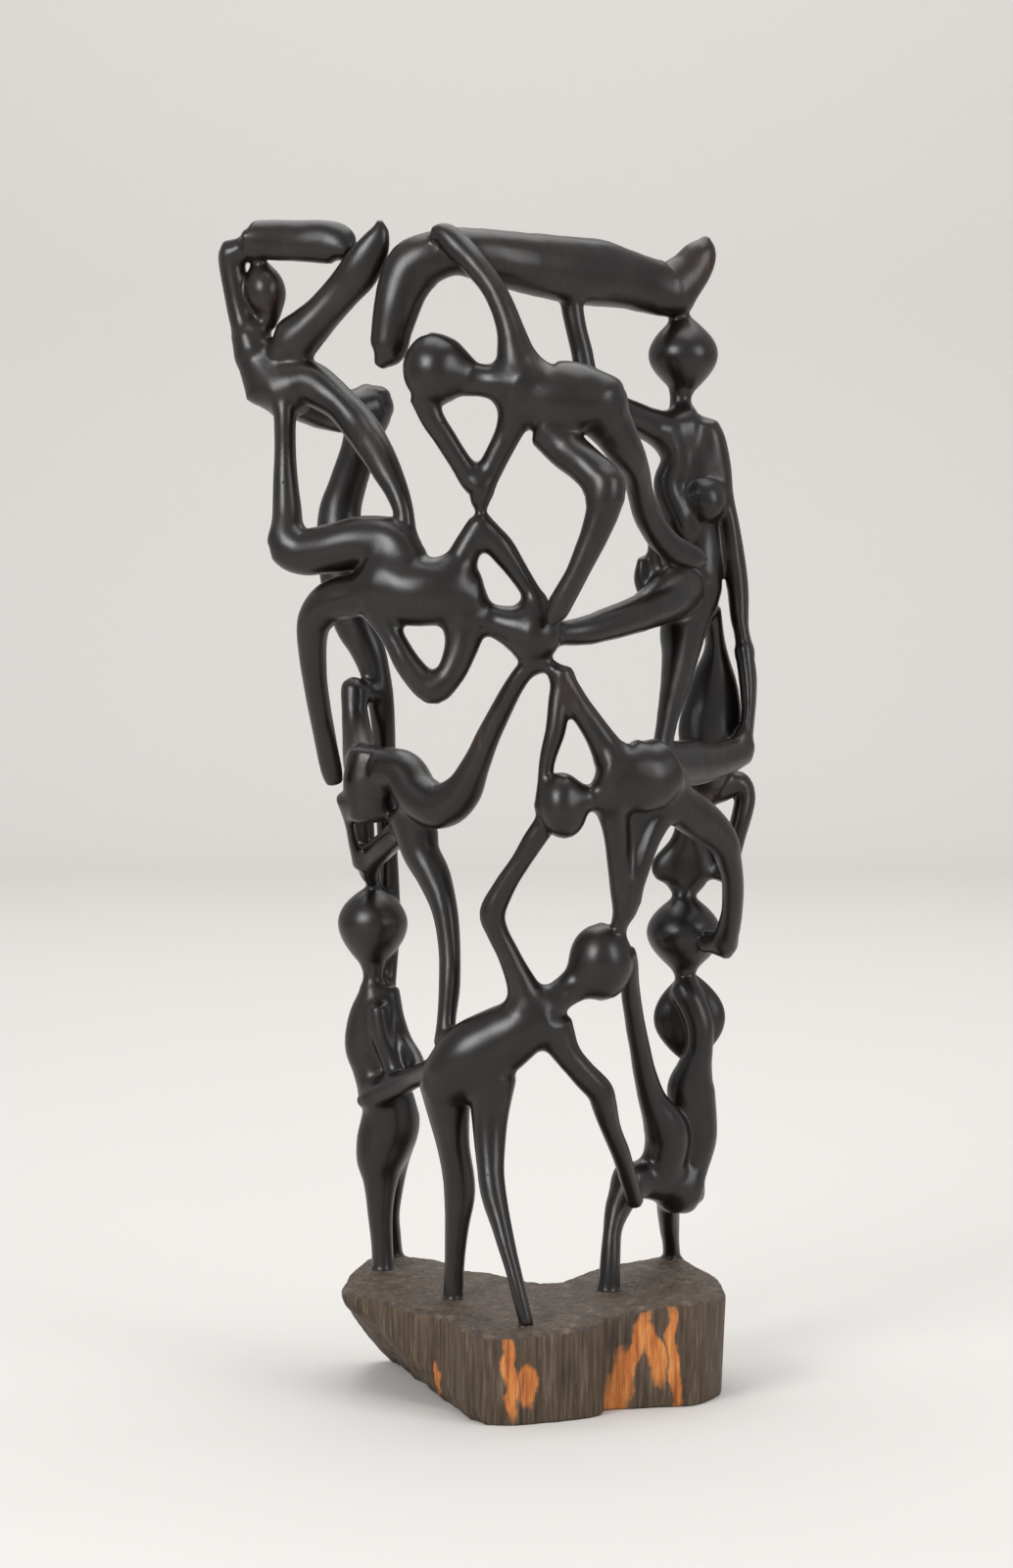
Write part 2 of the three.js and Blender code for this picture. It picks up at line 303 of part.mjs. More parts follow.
const ACROBATS = [
  topLeftAcrobat, topBarAcrobat, upperCentreAcrobat, middleLeftAcrobat, leftColumnAcrobat, backLeftAcrobat,
  lowerLeftAcrobat, centreAcrobat, upperRightAcrobat, rightColumnAcrobat, lowerRightAcrobat, bottomCentreAcrobat,
];

// Carries a joint from the sheet to its depth, and says how much the sheet's sizes grow there.
function carry(across, up, deep) {
  const onSheet = SHEET_MIDDLE.clone().add(new THREE.Vector3(across, 0, 0))
    .addScaledVector(SHEET_UP, up - SHEET_MIDDLE_UP);
  const growth = (deep - EYE.y) / (onSheet.y - EYE.y);
  return { point: EYE.clone().lerp(onSheet, growth), growth };
}

function solidOf(geometry) {
  geometry.deleteAttribute('normal');
  geometry.deleteAttribute('uv');
  const merged = mergeVertices(geometry, 1e-4);
  return new wasm.Manifold(new wasm.Mesh({
    numProp: 3,
    vertProperties: new Float32Array(merged.attributes.position.array),
    triVerts: new Uint32Array(merged.index.array),
  }));
}

// A closed skin over rings of equal length: side walls, and a fan over each end ring.
function skinRings(rings) {
  const sides = rings[0].length;
  const middle = (ring) => ring.reduce((sum, p) => sum.add(p), new THREE.Vector3()).divideScalar(sides);
  const points = [...rings.flat(), middle(rings[0]), middle(rings.at(-1))];
  const first = points.length - 2;
  const last = points.length - 1;
  const faces = [];
  rings.forEach((ring, i) => {
    for (let j = 0; j < sides; j += 1) {
      const a = i * sides + j;
      const b = i * sides + ((j + 1) % sides);
      if (i === 0) faces.push(first, b, a);
      if (i === rings.length - 1) faces.push(last, a, b);
      else faces.push(a, b, b + sides, a, b + sides, a + sides);
    }
  });
  const geometry = new THREE.BufferGeometry();
  geometry.setAttribute('position', new THREE.Float32BufferAttribute(points.flatMap((p) => p.toArray()), 3));
  geometry.setIndex(faces);
  return solidOf(geometry);
}

// An oval ring round a point of a path: its width lies on the sheet, its thickness along the sight.
function ovalRing(point, along, wide, thick, sides) {
  const depthwise = SIGHT.clone().addScaledVector(along, -SIGHT.dot(along)).normalize();
  const sideways = new THREE.Vector3().crossVectors(depthwise, along);
  return Array.from({ length: sides }, (_, j) => {
    const angle = (j / sides) * 2 * Math.PI;
    return point.clone().addScaledVector(sideways, wide * Math.cos(angle))
      .addScaledVector(depthwise, thick * Math.sin(angle));
  });
}

// Leaves out the stations that lie within a small slack of the straight run between their neighbours.
function bends(stations) {
  const [from, to] = [stations[0], stations.at(-1)];
  const run = to.map((value, k) => value - from[k]);
  const length = Math.hypot(...run);
  const offsets = stations.map((station) => {
    const share = station.reduce((sum, value, k) => sum + (value - from[k]) * run[k], 0) / length ** 2;
    return Math.hypot(...station.map((value, k) => value - from[k] - share * run[k]));
  });
  const worst = offsets.indexOf(Math.max(...offsets));
  if (offsets[worst] < STATION_SLACK) return [from, to];
  return [...bends(stations.slice(0, worst + 1)), ...bends(stations.slice(worst)).slice(1)];
}

// A limb: an oval profile set square to a smooth path at each of its stations.
function limb(allStations) {
  const stations = bends(allStations);
  const carried = stations.map(([across, up, deep]) => carry(across, up, deep));
  const path = new THREE.CatmullRomCurve3(carried.map(({ point }) => point));
  const sides = stations.some(([, , , wide]) => wide > STOUT) ? STOUT_SIDES : SLIM_SIDES;
  const rings = stations.map(([, , , wide, thick], i) => {
    const { point, growth } = carried[i];
    return ovalRing(point, path.getTangent(i / (stations.length - 1)), wide * growth, thick * growth, sides);
  });
  return skinRings(rings);
}

// A bulb between two poles. Its radius is a half circle (point 0) blended into a half sine wave
// (point 1, pointed ends), with its fullest ring at the share of the length named belly.
function bulb([from, to, wide, thick, belly, point]) {
  const start = carry(...from);
  const end = carry(...to);
  const along = end.point.clone().sub(start.point).normalize();
  const skew = Math.log(0.5) / Math.log(belly);
  const rings = Array.from({ length: BULB_RINGS }, (_, i) => {
    const share = (1 - Math.cos(((i + 0.35) / (BULB_RINGS - 0.3)) * Math.PI)) / 2;
    const even = share ** skew;
    const radius = THREE.MathUtils.lerp(2 * Math.sqrt(even * (1 - even)), Math.sin(Math.PI * even), point);
    const centre = start.point.clone().lerp(end.point, share);
    return ovalRing(centre, along, wide * start.growth * radius, thick * start.growth * radius, BULB_SIDES);
  });
  return skinRings(rings);
}

// A large box whose lower face passes through a point square to a normal; it cuts away what lies beyond.
function cutter({ at, normal }) {
  const out = new THREE.Vector3(...normal).normalize();
  const box = new THREE.BoxGeometry(CUTTER_SIZE, CUTTER_SIZE, CUTTER_SIZE);
  box.translate(0, 0, CUTTER_SIZE / 2);
  box.applyQuaternion(new THREE.Quaternion().setFromUnitVectors(new THREE.Vector3(0, 0, 1), out));
  box.translate(...at);
  return solidOf(box);
}

function baseTopHeight(x, y) {
  const rise = ((x - FRONT_RISE.across) / FRONT_RISE.wide) ** 2 + ((y - FRONT_RISE.along) / FRONT_RISE.long) ** 2;
  return BASE_HEIGHT + BASE_SLOPE * y + FRONT_RISE.height * Math.exp(-rise);
}

// The log: a kidney-shaped slice with a notch behind, a front lobe, a rise at the right front and a
// left side hacked away underneath.
function logBase() {
  const [midX, midY] = BASE_MIDDLE;
  const outline = [...BASE_OUTLINE].reverse();
  const foot = outline.map(([x, y]) => new THREE.Vector3(Math.min(x, x * RIGHT_TAPER), y, 0));
  const tops = TOP_RINGS.map((share) => outline.map(([x, y]) => {
    const [px, py] = [midX + (x - midX) * share, midY + (y - midY) * share];
    return new THREE.Vector3(px, py, baseTopHeight(px, py));
  }));
  return skinRings([foot, ...tops]).subtract(cutter(UNDERCUT));
}

function figureSolids({ limbs, bulbs }) {
  return [...Object.values(limbs).map(limb), ...Object.values(bulbs).map(bulb)];
}

function meshOf(solid) {
  const { vertProperties, triVerts } = solid.getMesh();
  const geometry = new THREE.BufferGeometry();
  geometry.setAttribute('position', new THREE.BufferAttribute(vertProperties, 3));
  geometry.setIndex(new THREE.BufferAttribute(triVerts, 1));
  return geometry;
}

const blackwood = new THREE.MeshStandardMaterial({ color: 0x3a322c, roughness: 0.38, metalness: 0 });

const carving = ACROBATS.flatMap(figureSolids).reduce((whole, solid) => whole.add(solid), logBase());
const group = new THREE.Mesh(meshOf(carving), blackwood);
group.name = 'carved_acrobat_group';

const figure = new THREE.Group();
figure.add(group);

export default figure;
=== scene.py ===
"""Looks of the carved acrobat group: one log of African blackwood cut into interlocked figures.

Everything is in metres in the part's own frame, +Z up and +Y away from the front. The carving is
worked out in millimetres as a distance field: every limb is an oval profile carried along a path,
the limbs of a figure melt into each other, and the skin of the field becomes the mesh.
"""
import logging  # noqa: E402
import math  # noqa: E402
from dataclasses import dataclass, field  # noqa: E402
from enum import Enum  # noqa: E402

import bpy  # noqa: E402
import numpy as np  # noqa: E402
from mathutils import Matrix, Vector  # noqa: E402


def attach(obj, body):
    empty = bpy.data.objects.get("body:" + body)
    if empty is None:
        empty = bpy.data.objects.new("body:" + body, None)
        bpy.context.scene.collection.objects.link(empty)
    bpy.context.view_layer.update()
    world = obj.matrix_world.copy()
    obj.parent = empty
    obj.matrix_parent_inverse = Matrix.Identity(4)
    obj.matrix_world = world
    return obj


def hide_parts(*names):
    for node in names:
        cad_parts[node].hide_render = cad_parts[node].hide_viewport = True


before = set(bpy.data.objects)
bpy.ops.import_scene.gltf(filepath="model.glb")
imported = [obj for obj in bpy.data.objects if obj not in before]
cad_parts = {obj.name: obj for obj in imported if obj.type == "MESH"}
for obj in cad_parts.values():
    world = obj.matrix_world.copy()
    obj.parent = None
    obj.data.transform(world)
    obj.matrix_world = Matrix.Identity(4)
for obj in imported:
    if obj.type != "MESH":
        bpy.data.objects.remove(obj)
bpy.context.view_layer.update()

log = logging.getLogger("acrobats")

MM = 0.001
CAD_NODE = "carved_acrobat_group"
BODY = "root"

Stations = list[list[float]]


class Section(Enum):
    """Power of a limb's oval profile: low gives a keel along the front, high gives flat sides."""

    KEELED = 1.55
    SOFT_KEEL = 1.8
    ROUND = 2.0
    SQUARED = 2.8


class Zone(Enum):
    """Finish of a patch of the skin, by its material slot on the mesh."""

    POLISHED = 0
    GOUGED_TOP = 1
    SPLIT_SIDE = 2
    CUT_END = 3


def unit(vectors: np.ndarray) -> np.ndarray:
    """Rows scaled to length one."""
    return vectors / np.maximum(np.linalg.norm(vectors, axis=-1, keepdims=True), 1e-9)


def through(points: np.ndarray, step: float) -> np.ndarray:
    """A Catmull-Rom curve through the rows of an array, with samples about a step apart.

    Between two rows the value is the cubic that leaves each with half the difference of its
    neighbours as slope.

    Args:
        points: Rows of any width whose first three columns are a place.
        step: Spacing of the samples, in the unit of the place.

    Returns:
        The samples as rows.
    """
    padded = np.vstack([2 * points[0] - points[1], points, 2 * points[-1] - points[-2]])
    longest = np.linalg.norm(np.diff(points[:, :3], axis=0), axis=1).max()
    cuts = max(2, math.ceil(longest / step))
    at = np.linspace(0, len(points) - 1, (len(points) - 1) * cuts + 1)
    row = np.minimum(at.astype(int), len(points) - 2)
    t = (at - row)[:, None]
    p0, p1, p2, p3 = (padded[row + k] for k in range(4))
    return p1 + 0.5 * t * (p2 - p0 + t * (2 * p0 - 5 * p1 + 4 * p2 - p3 + t * (3 * (p1 - p2) + p3 - p0)))


def ripple(points: np.ndarray, wavelength: float, seed: int, waves: int = 7) -> np.ndarray:
    """Smooth noise: the mean of plane sine waves in random directions, each near one wavelength.

    Args:
        points: Places in mm, as rows of three.
        wavelength: Mean wavelength in mm.
        seed: Seed of the directions and phases.
        waves: Number of waves.

    Returns:
        One value for each row, about -1 to 1.
    """
    rng = np.random.default_rng(seed)
    heading = unit(rng.normal(size=(waves, 3)))
    length = wavelength * rng.uniform(0.7, 1.4, waves)
    phase = rng.uniform(0, 2 * np.pi, waves)
    return np.sin(points @ (heading * (2 * np.pi / length)[:, None]).T + phase).mean(axis=1) * 1.7


def smoothstep(values: np.ndarray, low: float, high: float) -> np.ndarray:
    """0 below low, 1 above high, and a smooth cubic between."""
    t = np.clip((values - low) / (high - low), 0, 1)
    return t * t * (3 - 2 * t)


def melt(a: np.ndarray, b: np.ndarray, soft: float) -> np.ndarray:
    """Union of two distance fields with a fillet: the smaller one, less a quarter of soft where they meet."""
    near = np.clip(1 - np.abs(a - b) / soft, 0, 1)
    return np.minimum(a, b) - near * near * (soft / 4)


@dataclass(frozen=True)
class FrontSheet:
    """The upright drawing sheet on which every joint is measured, and the eye that looks at it.

    A joint lies across and up on the sheet, and is carried along its line of sight to its depth.
    """

    middle: tuple[float, float, float] = (0.0, 0.0, 354.2)
    middle_up: float = 350.5
    eye_distance: float = 2500.0
    eye_across: float = -16.5
    sight_fall: float = 0.06

    @property
    def sight(self) -> np.ndarray:
        """Direction of sight, a little downwards."""
        return np.array([0, math.sqrt(1 - self.sight_fall**2), -self.sight_fall])

    @property
    def upward(self) -> np.ndarray:
        """Direction that is up on the sheet."""
        return np.array([0, self.sight_fall, math.sqrt(1 - self.sight_fall**2)])

    @property
    def eye(self) -> np.ndarray:
        """Where the eye is."""
        return np.array(self.middle) + [self.eye_across, 0, 0] - self.eye_distance * self.sight

    def carry(self, stations: np.ndarray) -> np.ndarray:
        """Stations [across, up, deep, sizes...] carried to [x, y, z, sizes...], sizes grown to match."""
        flat = np.array(self.middle) + stations[:, :1] * [1, 0, 0]
        flat = flat + (stations[:, 1:2] - self.middle_up) * self.upward
        growth = (stations[:, 2] - self.eye[1]) / (flat[:, 1] - self.eye[1])
        place = self.eye + (flat - self.eye) * growth[:, None]
        return np.hstack([place, stations[:, 3:] * growth[:, None]])


SHEET = FrontSheet()


LIMB_STEP = 2.4
THINNEST = 1.2
CAP_SHARE = 0.45
REACH = 10.0
BULB_TABLE = 65


@dataclass(frozen=True)
class Cut:
    """How a limb is cut: its section, the turn of the section about the limb in degrees, and the size
    of the fillet that joins it to the limbs named before it, in mm."""

    section: Section = Section.ROUND
    turn: float = 0.0
    soft: float = 6.0


@dataclass
class Rod:
    """An oval rod ready to carve: its centre line, half width, half thickness, power and turn."""

    centre: np.ndarray
    wide: np.ndarray
    thick: np.ndarray
    power: float = 2.0
    turn: float = 0.0
    soft: float = 6.0

    def frames(self) -> np.ndarray:
        """At each centre point, its direction, its width axis and its thickness axis. Unturned, the
        thickness axis lies along the sight."""
        run = unit(np.gradient(self.centre, axis=0))
        deep = unit(SHEET.sight - (run @ SHEET.sight)[:, None] * run)
        side = np.cross(deep, run)
        c, s = math.cos(math.radians(self.turn)), math.sin(math.radians(self.turn))
        return np.stack([run, c * side + s * deep, c * deep - s * side], axis=1)

    def reach(self) -> float:
        """How far from the centre line the rod's field is worked out."""
        return float(max(self.wide.max(), self.thick.max())) + REACH

    def distance(self, near_index: np.ndarray, near_share: np.ndarray, offset: np.ndarray) -> np.ndarray:
        """Distance to first order of places whose nearest centre point is known.

        The powered oval radius k of the offset, over the half width, the half thickness and a blunt
        cap beyond the ends, is 1 on the skin, and (k - 1) over the length of k's gradient is the
        distance.

        Args:
            near_index: The straight run of the centre line that is nearest.
            near_share: The share of that run at which it is nearest.
            offset: Vector from that point to the place.

        Returns:
            One distance for each place.
        """

        def blend(values: np.ndarray) -> np.ndarray:
            share = near_share.reshape(near_share.shape + (1,) * (values.ndim - 1))
            return values[near_index] * (1 - share) + values[near_index + 1] * share

        axes = np.moveaxis(unit(blend(self.frames().astype(np.float32))), 1, 0)
        along, side, deep = (np.abs((offset * axis).sum(axis=1)) for axis in axes)
        w, t = blend(self.wide), blend(self.thick)
        p = self.power
        radii = (w, t, CAP_SHARE * np.minimum(w, t))
        shares = (side / w, deep / t, along / radii[2])
        total = sum(share**p for share in shares) + 1e-9
        slope = np.sqrt(sum((share ** (p - 1) / r) ** 2 for share, r in zip(shares, radii))) + 1e-9
        gap = (total ** (1 / p) - 1) * total ** (1 - 1 / p) / slope
        spacing = np.maximum(np.linalg.norm(np.gradient(self.centre, axis=0), axis=1), 0.3)
        steep = np.maximum(np.abs(np.gradient(self.wide)), np.abs(np.gradient(self.thick))) / spacing
        return np.maximum(gap, -np.minimum(w, t)) / np.hypot(1, blend(steep))


@dataclass
class Bulb:
    """A head or lobe of wood between two poles.

    Its radius is a half circle (point 0) blended into a half sine wave (point 1, pointed ends), and
    it is fullest at the share of its length named belly.
    """

    start: np.ndarray
    end: np.ndarray
    wide: float
    thick: float
    belly: float
    point: float
    soft: float = 6.0

    def radius(self, share: np.ndarray) -> np.ndarray:
        """Radius at a share of the length, 1 at the belly."""
        even = np.clip(share, 0, 1) ** (math.log(0.5) / math.log(self.belly))
        return (1 - self.point) * 2 * np.sqrt(even * (1 - even)) + self.point * np.sin(np.pi * even)

    def distance(self, places: np.ndarray) -> np.ndarray:
        """Distance to first order: the oval radius over the bulb's own there, less one, scaled to mm and
        evened out by the slope of the profile."""
        length = float(np.linalg.norm(self.end - self.start))
        run = (self.end - self.start) / length
        deep = unit(SHEET.sight - (run @ SHEET.sight) * run)
        side = np.cross(deep, run)
        offset = places - self.start
        share = offset @ run / length
        table = np.linspace(0, 1, BULB_TABLE)
        profile = self.radius(table)
        steep = np.clip(np.gradient(profile, table), -3, 3)
        girth = np.hypot(offset @ side / self.wide, offset @ deep / self.thick)
        mean = (self.wide + self.thick) / 2
        beyond = np.maximum(np.maximum(-share, share - 1), 0) * length
        gap = (girth - np.interp(share, table, profile)) * mean
        gap = gap / np.hypot(1, np.interp(share, table, steep) * mean / length)
        return np.where(beyond > 0, np.hypot(np.maximum(gap, 0), beyond), gap)


def limb_rod(stations: Stations, cut: Cut) -> Rod:
    """A limb: an oval profile carried along a smooth path through its stations."""
    rows = through(SHEET.carry(np.array(stations, float)), LIMB_STEP)
    girth = np.maximum(rows[:, 3:], THINNEST)
    return Rod(rows[:, :3], girth[:, 0], girth[:, 1], cut.section.value, cut.turn, cut.soft)


def bulb_between(start: list[float], end: list[float], wide: float, thick: float, belly: float, point: float,
                 soft: float = 4.0) -> Bulb:
    """A bulb between two places on the front sheet."""
    ends = SHEET.carry(np.array([[*start, wide, thick], [*end, wide, thick]], float))
    wide, thick = ends[:, 3:].mean(axis=0)
    return Bulb(ends[0, :3], ends[1, :3], wide, thick, belly, point, soft)


@dataclass
class WoodBlock:
    """A block of wood on a lattice. Each point holds its distance to the carved skin in mm, negative
    inside the wood."""

    low: tuple[float, float, float]
    high: tuple[float, float, float]
    pitch: float
    axes: list[np.ndarray] = field(init=False)
    wood: np.ndarray = field(init=False)

    def __post_init__(self) -> None:
        """Lays out the lattice and fills it with air."""
        self.axes = [np.arange(a, b, self.pitch, dtype=np.float32) for a, b in zip(self.low, self.high)]
        self.wood = np.full([len(axis) for axis in self.axes], REACH, np.float32)

    def window(self, low: np.ndarray, high: np.ndarray) -> tuple[slice, ...]:
        """Slices of the lattice that hold a box."""
        return tuple(
            slice(max(0, int((a - axis[0]) / self.pitch)), min(len(axis), int((b - axis[0]) / self.pitch) + 2))
            for axis, a, b in zip(self.axes, low, high)
        )

    def places(self, box: tuple[slice, ...]) -> np.ndarray:
        """Places of the lattice points in a window, as rows of three."""
        grid = np.meshgrid(*(axis[part] for axis, part in zip(self.axes, box)), indexing="ij")
        return np.stack([g.ravel() for g in grid], axis=1)

    def rod_distance(self, rod: Rod) -> tuple[tuple[slice, ...], np.ndarray]:
        """Distance to a rod, in the window round it: first the nearest place on its centre line is found
        for each lattice point, run by run, and then the rod's profile there is measured."""
        reach = rod.reach()
        outer = self.window(rod.centre.min(0) - reach, rod.centre.max(0) + reach)
        shape = [s.stop - s.start for s in outer]
        best = np.full(shape, reach * reach, np.float32)
        index, share = np.full(shape, -1, np.int16), np.zeros(shape, np.float32)
        for k, (start, end) in enumerate(zip(rod.centre[:-1], rod.centre[1:])):
            span = end - start
            box = self.window(np.minimum(start, end) - reach, np.maximum(start, end) + reach)
            x, y, z = (axis[part] - o for axis, part, o in zip(self.axes, box, start.astype(np.float32)))
            x, y = x[:, None, None], y[None, :, None]
            t = np.clip((x * span[0] + y * span[1] + z * span[2]) / max(span @ span, 1e-9), 0, 1).astype(np.float32)
            far = (x - t * span[0]) ** 2 + (y - t * span[1]) ** 2 + (z - t * span[2]) ** 2
            inner = tuple(slice(b.start - o.start, b.stop - o.start) for b, o in zip(box, outer))
            closer = far < best[inner]
            best[inner][closer] = far[closer]
            index[inner][closer] = k
            share[inner][closer] = t[closer]
        near = np.full(shape, REACH, np.float32)
        found = index >= 0
        cells = np.argwhere(found)
        places = np.stack([axis[part][cells[:, n]] for n, (axis, part) in enumerate(zip(self.axes, outer))], axis=1)
        index, share = index[found], share[found]
        middle = rod.centre[index] * (1 - share[:, None]) + rod.centre[index + 1] * share[:, None]
        near[found] = np.minimum(rod.distance(index, share, places - middle), REACH)
        return outer, near

    def bulb_distance(self, bulb: Bulb) -> tuple[tuple[slice, ...], np.ndarray]:
        """Distance to a bulb, in the window round it."""
        reach = max(bulb.wide, bulb.thick) + REACH
        box = self.window(np.minimum(bulb.start, bulb.end) - reach, np.maximum(bulb.start, bulb.end) + reach)
        near = bulb.distance(self.places(box)).reshape([s.stop - s.start for s in box])
        return box, np.minimum(near, REACH).astype(np.float32)

    def sample(self, points: np.ndarray) -> np.ndarray:
        """Value of the field at places between the lattice points, by trilinear blending."""
        at = (points - [axis[0] for axis in self.axes]) / self.pitch
        cell = np.clip(at.astype(int), 0, np.array(self.wood.shape) - 2)
        f = at - cell
        value = np.zeros(len(points))
        for corner in np.ndindex(2, 2, 2):
            weight = np.prod(np.where(corner, f, 1 - f), axis=1)
            value += weight * self.wood[tuple((cell + corner).T)]
        return value

    def slope(self, points: np.ndarray) -> np.ndarray:
        """Gradient of the field at places, by differences half a pitch to each side."""
        steps = np.eye(3) * self.pitch * 0.6
        return np.stack([self.sample(points + s) - self.sample(points - s) for s in steps], axis=1) / (
            1.2 * self.pitch
        )

    def skin(self) -> tuple[np.ndarray, np.ndarray]:
        """The skin of the wood as points and four-cornered faces.

        Each lattice cell that the skin passes through holds one point, at the mean of where the skin
        crosses the cell's edges, and each lattice edge that it crosses gives a face between the four
        cells round that edge.

        Returns:
            The points in mm, and the faces as rows of four indices.
        """
        inside = self.wood < 0
        trimmed = [n - 1 for n in inside.shape]
        corners = [inside[tuple(slice(c, c + n) for c, n in zip(corner, trimmed))] for corner in np.ndindex(2, 2, 2)]
        crossed = np.logical_or.reduce(corners) & ~np.logical_and.reduce(corners)
        cells = np.argwhere(crossed)
        index = np.full(crossed.shape, -1, np.int32)
        index[crossed] = np.arange(len(cells))
        total, count = np.zeros((len(cells), 3)), np.zeros(len(cells))
        for axis in range(3):
            for corner in np.ndindex(2, 2, 2):
                if corner[axis]:
                    continue
                ahead = tuple(int(c or k == axis) for k, c in enumerate(corner))
                a, b = self.wood[tuple((cells + corner).T)], self.wood[tuple((cells + ahead).T)]
                cut = (a < 0) != (b < 0)
                place = np.tile(np.array(corner, float), (cut.sum(), 1))
                place[:, axis] += a[cut] / (a[cut] - b[cut])
                total[cut] += place
                count[cut] += 1
        points = (cells + total / count[:, None]) * self.pitch + [axis[0] for axis in self.axes]
        faces = []
        for axis in range(3):
            b, c = (axis + 1) % 3, (axis + 2) % 3
            here = [slice(1, -1)] * 3
            here[axis] = slice(0, -1)
            there = list(here)
            there[axis] = slice(1, None)
            edges = np.argwhere(inside[tuple(here)] != inside[tuple(there)])
            edges += [0 if k == axis else 1 for k in range(3)]
            back_b, back_c = np.eye(3, dtype=int)[b], np.eye(3, dtype=int)[c]
            round_edge = [edges - back_b - back_c, edges - back_c, edges, edges - back_b]
            quad = np.stack([index[tuple(q.T)] for q in round_edge], axis=1)
            leaving = inside[tuple(edges.T)]
            faces.append(np.where(leaving[:, None], quad, quad[:, ::-1]))
        return points, np.vstack(faces)

    def settle(self, points: np.ndarray, faces: np.ndarray, rounds: int) -> np.ndarray:
        """Evens the points out over the skin: each moves half way to the mean of its neighbours, and
        then straight back to where the field is nought."""
        sides = np.vstack([faces[:, [k, (k + 1) % 4]] for k in range(4)])
        heads = np.bincount(sides.ravel(), minlength=len(points))[:, None]
        for _ in range(rounds):
            total = np.stack(
                [
                    np.bincount(sides[:, 0], points[sides[:, 1], k], len(points))
                    + np.bincount(sides[:, 1], points[sides[:, 0], k], len(points))
                    for k in range(3)
                ],
                axis=1,
            )
            points = points + 0.5 * (total / heads - points)
            grade = self.slope(points)
            push = self.sample(points) / np.maximum((grade**2).sum(axis=1), 0.25)
            points = points - np.clip(push, -self.pitch, self.pitch)[:, None] * grade
        return points


CONTACT_SOFT = 3.0
GROOVE_SOFT = 2.0


@dataclass
class Figure:
    """One acrobat: its limbs and bulbs by name, and the cut of the limbs that aren't plain ovals.

    A limb is a list of stations [across, up, deep, half width, half thickness], a bulb is
    [from, to, half width, half thickness, belly, point, fillet], and a groove is a list of stations
    whose width and thickness are those of a carved crease.
    """

    name: str
    limbs: dict[str, Stations]
    bulbs: dict[str, list] = field(default_factory=dict)
    cuts: dict[str, Cut] = field(default_factory=dict)
    grooves: dict[str, Stations] = field(default_factory=dict)

    def carve(self, block: WoodBlock) -> None:
        """Melts the figure's limbs and bulbs together and joins the figure to what the block holds."""
        mine = np.full_like(block.wood, REACH)
        for name, rows in self.limbs.items():
            rod = limb_rod(rows, self.cuts.get(name, Cut()))
            box, near = block.rod_distance(rod)
            mine[box] = melt(mine[box], near, rod.soft)
        for values in self.bulbs.values():
            bulb = bulb_between(*values)
            box, near = block.bulb_distance(bulb)
            mine[box] = melt(mine[box], near, bulb.soft)
        for rows in self.grooves.values():
            box, near = block.rod_distance(limb_rod(rows, Cut()))
            mine[box] = -melt(-mine[box], near, GROOVE_SOFT)
        block.wood = melt(block.wood, mine, CONTACT_SOFT)


